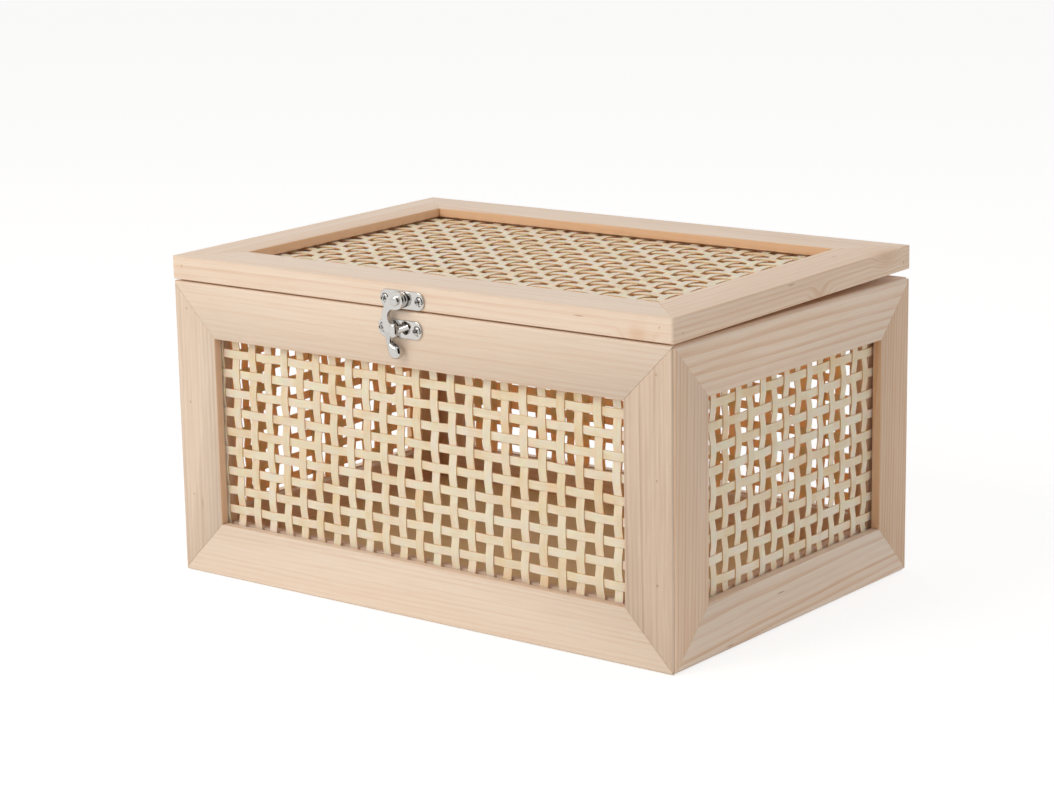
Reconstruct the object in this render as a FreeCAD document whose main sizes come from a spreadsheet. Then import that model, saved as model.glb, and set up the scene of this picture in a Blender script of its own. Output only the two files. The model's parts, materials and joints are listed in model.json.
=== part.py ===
import FreeCAD
import Part

import math
import os

import Sketcher

# Keepsake box of mitred wood frames round open woven cane, with a hinged lid and a swing hook.
# Millimetres. +Z is up, the front is towards -Y, and the origin is under the middle of the box.

Vector = FreeCAD.Vector
Placement = FreeCAD.Placement
Rotation = FreeCAD.Rotation

doc = FreeCAD.newDocument("cane_keepsake_box")

# Driving dimensions: alias, value in millimetres, degrees or a plain count, and what it is.
DIMENSIONS = [
    ("box_width", 300.0, "outside width of the box, left to right"),
    ("box_depth", 202.0, "outside depth of the box, front to back"),
    ("box_height", 148.0, "height of the four walls"),
    ("member_width", 27.0, "face width of every frame member"),
    ("stock", 11.5, "thickness of the wood in walls and lid"),
    ("corner_ease", 1.6, "width of the flat sanded on each upright corner"),
    ("overcut", 1.0, "how far a cutting outline runs past the wood"),
    ("cane_groove_width", 2.7, "width of the groove that holds the cane"),
    ("cane_groove_depth", 5.0, "depth of the groove that holds the cane"),
    ("cane_embed", 4.0, "length of each strip inside the groove"),
    ("cane_thick", 1.0, "thickness of a cane strip"),
    ("upright_width", 4.6, "width of a strip that runs up the panel"),
    ("band_width", 4.1, "width of a strip that runs across the panel"),
    ("upright_swing", 0.75, "how far an upright strip leaves the middle plane"),
    ("band_swing", 0.35, "how far a cross strip leaves the middle plane"),
    ("crossing_margin", 0.35, "flat length of a strip past each crossing"),
    ("wide_upright_first", 25.5, "first upright of a wide wall, from its edge"),
    ("wide_upright_pitch", 10.45, "pitch of the uprights of a wide wall"),
    ("wide_upright_count", 24, "uprights of a wide wall"),
    ("wide_band_pitch", 9.875, "pitch of the cross strips of a wide wall"),
    ("narrow_upright_first", 28.2, "first upright of a narrow wall, from its edge"),
    ("narrow_upright_pitch", 10.08, "pitch of the uprights of a narrow wall"),
    ("narrow_upright_count", 15, "uprights of a narrow wall"),
    ("narrow_band_pitch", 10.25, "pitch of the cross strips of a narrow wall"),
    ("wall_band_count", 9, "cross strips of every wall"),
    ("lid_upright_first", 34.5, "first front-to-back strip of the lid, from its edge"),
    ("lid_upright_pitch", 10.5, "pitch of the front-to-back strips of the lid"),
    ("lid_upright_count", 23, "front-to-back strips of the lid"),
    ("lid_band_pitch", 9.9, "pitch of the side-to-side strips of the lid"),
    ("lid_band_count", 15, "side-to-side strips of the lid"),
    ("floor_low", 6.0, "height of the underside of the bottom board"),
    ("floor_thick", 4.0, "thickness of the bottom board"),
    ("floor_housing", 4.9, "depth of the groove that holds the bottom board"),
    ("floor_play", 0.1, "room round the bottom board in its groove"),
    ("leaf_thick", 1.0, "thickness of a hinge leaf"),
    ("leaf_length", 25.0, "length of a hinge, along its pin"),
    ("leaf_reach", 10.5, "reach of a hinge leaf from the edge of the wood"),
    ("knuckle_radius", 2.0, "outer radius of a hinge knuckle"),
    ("knuckle_middle", 8.2, "length of the lid leaf's knuckle"),
    ("knuckle_play", 0.2, "gap between two knuckles along the pin"),
    ("hinge_pin_radius", 0.9, "radius of the hinge pin"),
    ("hinge_pin_fit", 0.01, "radial room of the pin in the box leaf"),
    ("hinge_pin_play", 0.05, "radial room of the pin in the lid leaf"),
    ("hinge_offset", 92.0, "distance of each hinge from the middle of the box"),
    ("hinge_screw_half", 8.0, "distance of a hinge screw from the middle of its hinge"),
    ("hinge_screw_inset", 6.0, "distance of a hinge screw from the edge of the wood"),
    ("lid_tilt", 0.93, "degrees by which the closed lid leans down to the front"),
    ("screw_shank", 1.0, "radius of every screw's shank"),
    ("screw_length", 8.0, "length of every screw under its head"),
    ("screw_fit", 0.03, "radial room of a screw in its hole"),
    ("flat_head_radius", 2.0, "radius of a hinge screw's flat head"),
    ("flat_head_height", 0.9, "height of a hinge screw's flat head"),
    ("dome_head_radius", 2.15, "radius of a latch screw's raised head"),
    ("dome_head_top", 1.3, "radius at the top of a latch screw's raised head"),
    ("dome_head_height", 0.85, "height of a latch screw's raised head"),
    ("slot_length", 2.4, "length of each arm of the cross slot"),
    ("slot_width", 0.5, "width of each arm of the cross slot"),
    ("slot_depth", 0.5, "depth of the cross slot"),
    ("plate_length", 26.0, "length of a latch plate"),
    ("plate_width", 8.7, "width of a latch plate"),
    ("plate_thick", 1.1, "thickness of a latch plate"),
    ("plate_corner", 3.4, "corner radius of a latch plate"),
    ("plate_screw_half", 10.2, "distance of a plate screw from the middle of its plate"),
    ("latch_x", -1.0, "middle of the latch plate, from the middle of the box"),
    ("latch_up", 4.5, "middle of the latch plate above the lid's underside"),
    ("catch_x", -2.7, "middle of the catch plate, from the middle of the box"),
    ("catch_height", 139.35, "height of the middle of the catch plate"),
    ("pivot_x", -2.0, "pivot of the hook, from the middle of the box"),
    ("pivot_radius", 1.5, "radius of the pivot rivet's shank"),
    ("pivot_play", 0.08, "radial room of the rivet in the hook"),
    ("pivot_seat_radius", 3.2, "radius of the raised seat under the hook"),
    ("rivet_head_radius", 2.9, "radius of the sphere of the rivet's head"),
    ("rivet_head_cut", 18.0, "latitude in degrees at which the head's sphere is cut"),
    ("hook_low", 2.6, "height of the hook's underside above the wood"),
    ("hook_seat_gap", 0.05, "gap between the hook and its seat"),
    ("hook_thick", 2.0, "thickness of the hook"),
    ("neck_radius", 1.4, "radius of the catch's neck"),
    ("neck_play", 0.3, "room between the neck and the hook's notch"),
    ("notch_reach", 6.0, "length of the hook's notch, towards its mouth"),
    ("catch_head_half_width", 2.2, "half of the catch head's width"),
    ("catch_head_half_height", 3.1, "half of the catch head's height"),
    ("catch_head_half_depth", 1.1, "half of the catch head's depth"),
    ("catch_head_out", 6.0, "distance of the catch head's middle from the wood"),
    ("knob_radius", 3.4, "radius of the hook's finger knob, seen from the front"),
    ("knob_half_depth", 2.3, "half of the finger knob's depth"),
    ("knob_out", 4.1, "distance of the knob's middle from the wood"),
    ("knob_x", -1.1, "knob's middle, sideways from the pivot"),
    ("knob_drop", 24.2, "knob's middle below the pivot"),
    ("brad_radius", 0.6, "radius of a brad"),
    ("brad_length", 18.0, "length of a brad"),
    ("brad_sink", 0.4, "depth of a brad's head under the surface"),
    ("brad_inset", 9.0, "distance of a corner brad from the corner"),
    ("brad_first_drop", 13.4, "first corner brad below the top of the wall"),
    ("brad_pitch", 47.3, "pitch of the corner brads"),
    ("brad_count", 3, "corner brads in each corner"),
    ("lid_brad_inset", 7.0, "distance of a lid brad from the corner"),
    ("lid_brad_front_drop", 4.6, "brads of the front and back edges, under the lid's top"),
    ("lid_brad_side_drop", 7.5, "brads of the side edges, under the lid's top"),
]

sheet = doc.addObject("Spreadsheet::Sheet", "dims")
for row, (alias, value, meaning) in enumerate(DIMENSIONS, start=1):
    sheet.set("A%d" % row, alias)
    sheet.set("B%d" % row, str(value))
    sheet.set("C%d" % row, meaning)
    sheet.setAlias("B%d" % row, alias)
doc.recompute()


def dim(alias):
    """A driving dimension, read from the sheet."""
    return float(sheet.get(alias))


HALF_WIDTH = dim("box_width") / 2
HALF_DEPTH = dim("box_depth") / 2
HEIGHT = dim("box_height")
STOCK = dim("stock")
X_AXIS = Vector(1, 0, 0)
Y_AXIS = Vector(0, 1, 0)
Z_AXIS = Vector(0, 0, 1)

# The pin runs one knuckle radius behind the back face and above the rim.
PIN_Y = HALF_DEPTH + dim("knuckle_radius")
PIN_Z = HEIGHT + dim("knuckle_radius")
# The lid is drawn level, lying on the upper leaves, and then leans down to the front about the pin.
LID_LOW = HEIGHT + 2 * dim("knuckle_radius")
LID_TOP = LID_LOW + STOCK
LEVEL = Placement()
LEAN = Placement(Vector(), Rotation(X_AXIS, dim("lid_tilt")), Vector(0, PIN_Y, PIN_Z))

parts = {}


def keep(node, feature, lean=LEVEL):
    """Give a finished sub-part its label and place, and list it for export."""
    feature.Label = node
    feature.Placement = lean.multiply(feature.Placement)
    parts[node] = feature
    return feature


def bind(feature, **expressions):
    """Bind properties of a feature to expressions over the sheet."""
    for name, expression in expressions.items():
        feature.setExpression(name, expression)
    return feature


def compound(name, features):
    """Join features, still separate solids, in one compound."""
    group = doc.addObject("Part::Compound", name)
    group.Links = features
    return group


def cut(name, base, tools):
    """Base with every tool taken away."""
    feature = doc.addObject("Part::Cut", name)
    feature.Base = base
    feature.Tool = tools[0] if len(tools) == 1 else compound(name + "_tools", tools)
    return feature


def fuse(name, shapes):
    """One solid from overlapping features."""
    feature = doc.addObject("Part::MultiFuse", name)
    feature.Shapes = shapes
    feature.Refine = True
    return feature


def cylinder(name, radius, height, start, direction):
    """A cylinder from a start point along a direction; radius and height are expressions."""
    feature = doc.addObject("Part::Cylinder", name)
    bind(feature, Radius=radius, Height=height)
    feature.Placement = Placement(start, Rotation(Z_AXIS, direction))
    return feature


def cone(name, radius_start, radius_end, height, start, direction):
    """A cone from a start point along a direction; sizes are expressions."""
    feature = doc.addObject("Part::Cone", name)
    bind(feature, Radius1=radius_start, Radius2=radius_end, Height=height)
    feature.Placement = Placement(start, Rotation(Z_AXIS, direction))
    return feature


def box(name, length, width, height, corner, rotation=None):
    """A box from its lowest corner; sizes are expressions."""
    feature = doc.addObject("Part::Box", name)
    bind(feature, Length=length, Width=width, Height=height)
    feature.Placement = Placement(corner, rotation or Rotation())
    return feature


def origin_plane(body, role):
    """One of a body's own origin planes."""
    return next(plane for plane in body.Origin.OriginFeatures if plane.Role == role)


def sketch_outlines(body, name, role, outlines):
    """A sketch of straight-sided outlines, with each corner's place bound to expressions."""
    sketch = body.newObject("Sketcher::SketchObject", name)
    sketch.AttachmentSupport = [(origin_plane(body, role), "")]
    sketch.MapMode = "FlatFace"
    for corners in outlines:
        first, count = sketch.GeometryCount, len(corners)
        turn = 2 * math.pi / count
        rough = [Vector(math.cos(turn * k), math.sin(turn * k), 0) for k in range(count)]
        for k in range(count):
            sketch.addGeometry(Part.LineSegment(rough[k], rough[(k + 1) % count]))
        for k, corner in enumerate(corners):
            after = first + (k + 1) % count
            sketch.addConstraint(Sketcher.Constraint("Coincident", first + k, 2, after, 1))
            for kind, expression in zip(("DistanceX", "DistanceY"), corner):
                number = sketch.addConstraint(Sketcher.Constraint(kind, -1, 1, first + k, 1, 1.0))
                sketch.setExpression("Constraints[%d]" % number, expression)
    return sketch


def pad(body, name, sketch, length):
    """Raise a sketch by a length given as an expression."""
    feature = body.newObject("PartDesign::Pad", name)
    feature.Profile = sketch
    return bind(feature, Length=length)


def pocket_through(body, name, sketch):
    """Cut a sketch right through the body, both ways, and prove that it took wood away."""
    doc.recompute()
    before = body.Shape.Volume
    feature = body.newObject("PartDesign::Pocket", name)
    feature.Profile = sketch
    feature.Type = "ThroughAll"
    feature.SideType = "Symmetric"
    doc.recompute()
    if not body.Shape.Volume < before:
        raise RuntimeError("%s of %s cuts nothing" % (name, body.Name))
    return feature


def member_body(name, length, is_stile, has_corner):
    """A frame member as it lies on the bench.

    X runs along its outer edge, Y from that edge to the opening, and Z from its face inwards.
    length is an expression. A wall's member is also mitred to the next wall.
    """
    body = doc.addObject("PartDesign::Body", name + "_body")
    width, ease = "dims.member_width", "dims.corner_ease"
    if has_corner:
        outline = [("0", "0"), (length, "0")]
    else:
        outline = [
            ("%s / 2" % ease, "%s / 2" % ease),
            (ease, "0"),
            ("%s - %s" % (length, ease), "0"),
            ("%s - %s / 2" % (length, ease), "%s / 2" % ease),
        ]
    outline += [("%s - %s" % (length, width), width), (width, width)]
    face = sketch_outlines(body, name + "_face", "XY_Plane", [outline])
    pad(body, name + "_blank", face, "dims.stock")
    past, deep = "dims.overcut", "dims.stock + dims.overcut"
    if has_corner:
        # What the mitre between two walls, and the sanded corner, take from the section.
        corner = [
            ("%s + %s" % (ease, past), "-%s" % past),
            ("%s / 2" % ease, "%s / 2" % ease),
            (deep, deep),
            ("-%s" % past, deep),
            ("-%s" % past, "-%s" % past),
        ]
        if is_stile:
            sketch = sketch_outlines(body, name + "_corner", "YZ_Plane", [corner])
        else:
            far = [("%s - (%s)" % (length, across), down) for across, down in corner]
            sketch = sketch_outlines(body, name + "_corner", "XZ_Plane", [corner, far])
        pocket_through(body, name + "_corner_mitre", sketch)
    near = "(dims.stock - dims.cane_groove_width) / 2"
    groove = [
        ("%s - dims.cane_groove_depth" % width, near),
        ("%s + %s" % (width, past), near),
        ("%s + %s" % (width, past), "%s + dims.cane_groove_width" % near),
        ("%s - dims.cane_groove_depth" % width, "%s + dims.cane_groove_width" % near),
    ]
    sketch = sketch_outlines(body, name + "_groove", "YZ_Plane", [groove])
    pocket_through(body, name + "_cane_groove", sketch)
    return body


class Frame:
    """Four mitred members round an opening, seen square on from outside."""

    def __init__(self, centre, right, up, span, rise, names, is_wall):
        self.centre, self.right, self.up = centre, right, up
        self.inward = up.cross(right)
        self.span, self.rise = span, rise
        self.names, self.is_wall = names, is_wall

    def point(self, across, along, depth=0.0):
        """A point by its place in the frame: to the right, up, and inwards from the face."""
        return self.centre + self.right * across + self.up * along + self.inward * depth

    def build(self):
        """The four members, each in its place."""
        half_span, half_rise = dim(self.span) / 2, dim(self.rise) / 2
        right, up = self.right, self.up
        corners = {
            "low": (self.point(half_span, -half_rise), -right, up, self.span),
            "high": (self.point(-half_span, half_rise), right, -up, self.span),
            "near": (self.point(-half_span, -half_rise), up, right, self.rise),
            "far": (self.point(half_span, half_rise), -up, -right, self.rise),
        }
        for side, (start, along, across, length) in corners.items():
            name = self.names[side]
            body = member_body(name, "dims." + length, side in ("near", "far"), self.is_wall)
            turn = Rotation(along, across, self.inward, "XYZ")
            body.Placement = Placement(start, turn)
            members[name] = body


members = {}
drills = {}
WALLS = {
    "front": Frame(
        Vector(0, -HALF_DEPTH, HEIGHT / 2), X_AXIS, Z_AXIS, "box_width", "box_height",
        {"low": "front_bottom_rail", "high": "front_top_rail",
         "near": "front_left_stile", "far": "front_right_stile"}, True),
    "right": Frame(
        Vector(HALF_WIDTH, 0, HEIGHT / 2), Y_AXIS, Z_AXIS, "box_depth", "box_height",
        {"low": "right_bottom_rail", "high": "right_top_rail",
         "near": "right_front_stile", "far": "right_rear_stile"}, True),
    "back": Frame(
        Vector(0, HALF_DEPTH, HEIGHT / 2), -X_AXIS, Z_AXIS, "box_width", "box_height",
        {"low": "back_bottom_rail", "high": "back_top_rail",
         "near": "back_right_stile", "far": "back_left_stile"}, True),
    "left": Frame(
        Vector(-HALF_WIDTH, 0, HEIGHT / 2), -Y_AXIS, Z_AXIS, "box_depth", "box_height",
        {"low": "left_bottom_rail", "high": "left_top_rail",
         "near": "left_rear_stile", "far": "left_front_stile"}, True),
}
LID = Frame(
    Vector(0, 0, LID_TOP), X_AXIS, Y_AXIS, "box_width", "box_depth",
    {"low": "lid_front_rail", "high": "lid_back_rail",
     "near": "lid_left_rail", "far": "lid_right_rail"}, False)

for frame in list(WALLS.values()) + [LID]:
    frame.build()
doc.recompute()


def drill(member_names, tool):
    """Note that a tool is to be taken from the named members."""
    for name in member_names:
        drills.setdefault(name, []).append(tool)


# Bottom board
board_half_width = HALF_WIDTH - STOCK + dim("floor_housing") - dim("floor_play")
board_half_depth = HALF_DEPTH - STOCK + dim("floor_housing") - dim("floor_play")
BOARD_INSET = "(dims.stock - dims.floor_housing + dims.floor_play)"
board = box(
    "bottom_board", "dims.box_width - 2 * " + BOARD_INSET, "dims.box_depth - 2 * " + BOARD_INSET,
    "dims.floor_thick", Vector(-board_half_width, -board_half_depth, dim("floor_low")))
keep("bottom_board", board)

# The groove round the board, cut from every wall member that it meets
play = dim("floor_play")
housing = box(
    "bottom_board_housing", "dims.box_width - 2 * (dims.stock - dims.floor_housing)",
    "dims.box_depth - 2 * (dims.stock - dims.floor_housing)",
    "dims.floor_thick + dims.floor_play",
    Vector(-board_half_width - play, -board_half_depth - play, dim("floor_low")))
for wall in WALLS.values():
    drill([wall.names["low"], wall.names["near"], wall.names["far"]], housing)


# Cane panels
def wavy_strip(frame, runs_up, place, half_length, width, crossings):
    """One flat strip that weaves over and under the strips it crosses.

    crossings lists the place and inward offset of each crossing, in order along the strip.
    """
    half_thick = dim("cane_thick") / 2
    other = dim("band_width") if runs_up else dim("upright_width")
    flat = other / 2 + dim("crossing_margin")
    line = [(-half_length, crossings[0][1])]
    for middle, offset in crossings:
        line += [(middle - flat, offset), (middle + flat, offset)]
    line.append((half_length, crossings[-1][1]))
    line = [(max(-half_length, min(half_length, along)), offset) for along, offset in line]
    line = [spot for k, spot in enumerate(line) if k == 0 or spot[0] > line[k - 1][0]]
    section = [(along, offset - half_thick) for along, offset in line]
    section += [(along, offset + half_thick) for along, offset in reversed(line)]
    middle_depth = STOCK / 2
    low = place - width / 2
    if runs_up:
        corners = [frame.point(low, along, middle_depth + depth) for along, depth in section]
        step = frame.right * width
    else:
        corners = [frame.point(along, low, middle_depth + depth) for along, depth in section]
        step = frame.up * width
    outline = Part.makePolygon(corners + corners[:1])
    return Part.Face(outline).extrude(step)


def cane_panel(name, frame, upright_places, band_places, over_first, lean=LEVEL):
    """An open plain weave, as one node of uprights and one of cross strips.

    over_first is 0 where the first upright passes outside the top cross strip, and 1 elsewhere.
    """
    opening_half_span = dim(frame.span) / 2 - dim("member_width")
    opening_half_rise = dim(frame.rise) / 2 - dim("member_width")
    embed = dim("cane_embed")

    def upright_is_outside(i, j):
        return (i + j) % 2 == over_first

    uprights = []
    for i, place in enumerate(upright_places):
        crossings = []
        for j, band in enumerate(band_places):
            sign = -1 if upright_is_outside(i, j) else 1
            crossings.append((band, sign * dim("upright_swing")))
        uprights.append(wavy_strip(
            frame, True, place, opening_half_rise + embed, dim("upright_width"),
            sorted(crossings)))
    bands = []
    for j, place in enumerate(band_places):
        crossings = []
        for i, upright in enumerate(upright_places):
            sign = 1 if upright_is_outside(i, j) else -1
            crossings.append((upright, sign * dim("band_swing")))
        bands.append(wavy_strip(
            frame, False, place, opening_half_span + embed, dim("band_width"),
            sorted(crossings)))
    for kind, strips in (("uprights", uprights), ("bands", bands)):
        node = "%s_cane_%s" % (name, kind)
        feature = doc.addObject("Part::Feature", node)
        feature.Shape = Part.makeCompound(strips)
        keep(node, feature, lean)


def places_from_edge(first, pitch, count, span):
    """Places of strips counted from the frame's left edge, taken from its middle."""
    start = dim(first) - dim(span) / 2
    return [start + dim(pitch) * k for k in range(int(dim(count)))]


def places_from_middle(pitch, count):
    """Places of strips set evenly about the frame's middle, from the top down."""
    total = int(dim(count))
    return [dim(pitch) * ((total - 1) / 2 - k) for k in range(total)]


wide_uprights = places_from_edge(
    "wide_upright_first", "wide_upright_pitch", "wide_upright_count", "box_width")
wide_bands = places_from_middle("wide_band_pitch", "wall_band_count")
narrow_uprights = places_from_edge(
    "narrow_upright_first", "narrow_upright_pitch", "narrow_upright_count", "box_depth")
narrow_bands = places_from_middle("narrow_band_pitch", "wall_band_count")
lid_uprights = places_from_edge(
    "lid_upright_first", "lid_upright_pitch", "lid_upright_count", "box_width")
lid_bands = places_from_middle("lid_band_pitch", "lid_band_count")
cane_panel("front", WALLS["front"], wide_uprights, wide_bands, 0)
cane_panel("back", WALLS["back"], wide_uprights, wide_bands, 0)
cane_panel("right", WALLS["right"], narrow_uprights, narrow_bands, 1)
cane_panel("left", WALLS["left"], narrow_uprights, narrow_bands, 1)
cane_panel("lid", LID, lid_uprights, lid_bands, 0, LEAN)


# Screws: each is a head and a shank, driven at a point into the wood
def flat_screw(name, head_top, drive):
    """A countersunk screw with its head flush at head_top."""
    head = cone(name + "_head", "dims.flat_head_radius", "dims.screw_shank",
                "dims.flat_head_height", head_top, drive)
    shank = cylinder(name + "_shank", "dims.screw_shank",
                     "dims.flat_head_height + dims.screw_length", head_top, drive)
    return fuse(name, [head, shank])


def flat_screw_seat(name, head_top, drive):
    """The countersunk hole for a flat screw, a little larger than the screw."""
    fit = "dims.screw_fit"
    head = cone(name + "_sink", "dims.flat_head_radius + " + fit, "dims.screw_shank + " + fit,
                "dims.flat_head_height", head_top, drive)
    shank = cylinder(name + "_bore", "dims.screw_shank + " + fit,
                     "dims.flat_head_height + dims.screw_length + " + fit, head_top, drive)
    return fuse(name, [head, shank])


def dome_screw(name, seat, drive, across):
    """A raised-head screw with a cross slot; seat is the point under its head."""
    out = seat - drive * dim("dome_head_height")
    head = cone(name + "_head", "dims.dome_head_top", "dims.dome_head_radius",
                "dims.dome_head_height", out, drive)
    shank = cylinder(name + "_shank", "dims.screw_shank", "dims.screw_length", seat, drive)
    whole = fuse(name + "_blank", [head, shank])
    slots = []
    for k, (first, second) in enumerate(((across, drive.cross(across)),
                                         (drive.cross(across), -across))):
        corner = (out - first * (dim("slot_length") / 2) - second * (dim("slot_width") / 2)
                  - drive * dim("overcut"))
        slots.append(box("%s_slot_%d" % (name, k), "dims.slot_length", "dims.slot_width",
                         "dims.slot_depth + dims.overcut", corner,
                         Rotation(first, second, drive, "XYZ")))
    return cut(name, whole, [fuse(name + "_cross", slots)])


# Hinges
class Leaf:
    """What differs between the leaf on the box's rim and the leaf under the lid."""

    def __init__(self, owner, low, face, drive, member, knuckle_length, starts, fit, lean):
        self.owner, self.member, self.lean = owner, member, lean
        self.low, self.face, self.drive = low, face, drive
        self.knuckle_length, self.starts, self.fit = knuckle_length, starts, fit
        self.screws = []

    def build(self, side, middle):
        """The leaf of one hinge, with its screws beside it."""
        name = "hinge_%s_%s_leaf" % (side, self.owner)
        start = middle - dim("leaf_length") / 2
        pieces = [box(name + "_plate", "dims.leaf_length", "dims.leaf_reach", "dims.leaf_thick",
                      Vector(start, HALF_DEPTH - dim("leaf_reach"), self.low))]
        for k, along in enumerate(self.starts):
            pieces.append(cylinder(
                "%s_knuckle_%d" % (name, k), "dims.knuckle_radius", self.knuckle_length,
                Vector(middle + along, PIN_Y, PIN_Z), X_AXIS))
            pieces.append(box(
                "%s_strap_%d" % (name, k), self.knuckle_length, "dims.knuckle_radius",
                "dims.leaf_thick", Vector(middle + along, HALF_DEPTH, self.low)))
        tools = [cylinder(
            name + "_bore", "dims.hinge_pin_radius + " + self.fit,
            "dims.leaf_length + 2 * dims.overcut",
            Vector(start - dim("overcut"), PIN_Y, PIN_Z), X_AXIS)]
        for k, across in enumerate((-dim("hinge_screw_half"), dim("hinge_screw_half"))):
            head_top = Vector(middle + across, HALF_DEPTH - dim("hinge_screw_inset"), self.face)
            screw_name = "%s_screw_%d" % (name, k)
            self.screws.append(flat_screw(screw_name, head_top, self.drive))
            seat = flat_screw_seat(screw_name + "_seat", head_top, self.drive)
            tools.append(seat)
            drill([self.member], seat)
        keep(name, cut(name, fuse(name + "_blank", pieces), tools), self.lean)


leaf_under_lid = LID_LOW - dim("leaf_thick")
half_middle_knuckle = dim("knuckle_middle") / 2
box_leaf = Leaf(
    "box", HEIGHT, HEIGHT + dim("leaf_thick"), -Z_AXIS, "back_top_rail",
    "(dims.leaf_length - dims.knuckle_middle) / 2 - dims.knuckle_play",
    [-dim("leaf_length") / 2, half_middle_knuckle + dim("knuckle_play")],
    "dims.hinge_pin_fit", LEVEL)
lid_leaf = Leaf(
    "lid", leaf_under_lid, leaf_under_lid, Z_AXIS, "lid_back_rail",
    "dims.knuckle_middle", [-half_middle_knuckle], "dims.hinge_pin_play", LEAN)
for side, middle in (("left", -dim("hinge_offset")), ("right", dim("hinge_offset"))):
    for leaf in (box_leaf, lid_leaf):
        leaf.build(side, middle)
    pin = cylinder("hinge_%s_pin" % side, "dims.hinge_pin_radius", "dims.leaf_length",
                   Vector(middle - dim("leaf_length") / 2, PIN_Y, PIN_Z), X_AXIS)
    keep("hinge_%s_pin" % side, pin)
for leaf in (box_leaf, lid_leaf):
    node = "hinge_%s_screws" % leaf.owner
    keep(node, compound(node, leaf.screws), leaf.lean)


# Latch: OUT points away from the wood of the front
OUT = -Y_AXIS


def front_point(across, height, out=0.0):
    """A point in front of the box's front face."""
    return Vector(across, -HALF_DEPTH - out, height)


def rounded_plate(name, middle_x, middle_z):
    """A plate with round corners that lies on the front."""
    body = doc.addObject("PartDesign::Body", name + "_body")
    half_length, half_width = "dims.plate_length / 2", "dims.plate_width / 2"
    corners = [("-" + half_length, "-" + half_width), (half_length, "-" + half_width),
               (half_length, half_width), ("-" + half_length, half_width)]
    sketch = sketch_outlines(body, name + "_outline", "XY_Plane", [corners])
    blank = pad(body, name + "_blank", sketch, "dims.plate_thick")
    doc.recompute()
    upright = []
    for number, edge in enumerate(blank.Shape.Edges, start=1):
        first, last = (vertex.Point for vertex in edge.Vertexes)
        if abs(first.z - last.z) > dim("plate_thick") / 2:
            upright.append("Edge%d" % number)
    rounding = body.newObject("PartDesign::Fillet", name + "_corners")
    rounding.Base = (blank, upright)
    bind(rounding, Radius="dims.plate_corner")
    body.Placement = Placement(front_point(middle_x, middle_z),
                               Rotation(X_AXIS, Z_AXIS, OUT, "XYZ"))
    return body


def plate_screws(name, middle_x, middle_z, member):
    """The two screws of a plate, the holes for them in it, and their pilot holes in the wood."""
    screws, holes = [], []
    for k, across in enumerate((-dim("plate_screw_half"), dim("plate_screw_half"))):
        seat = front_point(middle_x + across, middle_z, dim("plate_thick"))
        screws.append(dome_screw("%s_%d" % (name, k), seat, -OUT, X_AXIS))
        hole = cylinder("%s_hole_%d" % (name, k), "dims.screw_shank + dims.screw_fit",
                        "dims.screw_length + dims.overcut + dims.screw_fit",
                        seat + OUT * dim("overcut"), -OUT)
        holes.append(hole)
        drill([member], hole)
    return screws, holes


PIVOT = front_point(dim("pivot_x"), LID_LOW + dim("latch_up"))
NECK = front_point(dim("catch_x"), dim("catch_height"))

# Latch plate, with the raised seat of the pivot
latch_z = LID_LOW + dim("latch_up")
screws, holes = plate_screws("latch_plate_screw", dim("latch_x"), latch_z, "lid_front_rail")
plate = rounded_plate("latch_plate", dim("latch_x"), latch_z)
seat = cylinder("latch_plate_seat", "dims.pivot_seat_radius",
                "dims.hook_low - dims.hook_seat_gap", PIVOT, OUT)
rivet_hole = cylinder("latch_plate_rivet_hole", "dims.pivot_radius + dims.hinge_pin_fit",
                      "dims.hook_low + 2 * dims.overcut", PIVOT - OUT * dim("overcut"), OUT)
blank = fuse("latch_plate_blank", [plate, seat])
keep("latch_plate", cut("latch_plate", blank, holes + [rivet_hole]), LEAN)
keep("latch_plate_screws", compound("latch_plate_screws", screws), LEAN)

# Pivot rivet: a shank through plate and hook, and a domed head
rivet_shank = cylinder("latch_pivot_shank", "dims.pivot_radius",
                       "dims.hook_low + dims.hook_thick + 2 * dims.pivot_play", PIVOT, OUT)
rivet_head = doc.addObject("Part::Sphere", "latch_pivot_head")
bind(rivet_head, Radius="dims.rivet_head_radius", Angle1="dims.rivet_head_cut")
sunk = dim("rivet_head_radius") * math.sin(math.radians(dim("rivet_head_cut")))
head_base = dim("hook_low") + dim("hook_thick") + dim("pivot_play")
rivet_head.Placement = Placement(PIVOT + OUT * (head_base - sunk), Rotation(Z_AXIS, OUT))
keep("latch_pivot_rivet", fuse("latch_pivot_rivet", [rivet_shank, rivet_head]), LEAN)

# Catch plate, with its neck and head
screws, holes = plate_screws("catch_plate_screw", dim("catch_x"), dim("catch_height"),
                             "front_top_rail")
plate = rounded_plate("catch_plate", dim("catch_x"), dim("catch_height"))
neck = cylinder("catch_neck", "dims.neck_radius", "dims.catch_head_out", NECK, OUT)
head = doc.addObject("Part::Ellipsoid", "catch_head")
bind(head, Radius1="dims.catch_head_half_depth", Radius2="dims.catch_head_half_width",
     Radius3="dims.catch_head_half_height", Angle1="-90", Angle2="90", Angle3="360")
head.Placement = Placement(NECK + OUT * dim("catch_head_out"),
                           Rotation(X_AXIS, Z_AXIS, OUT, "XYZ"))
blank = fuse("catch_plate_blank", [plate, neck, head])
keep("catch_plate", cut("catch_plate", blank, holes))
keep("catch_plate_screws", compound("catch_plate_screws", screws))

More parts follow.
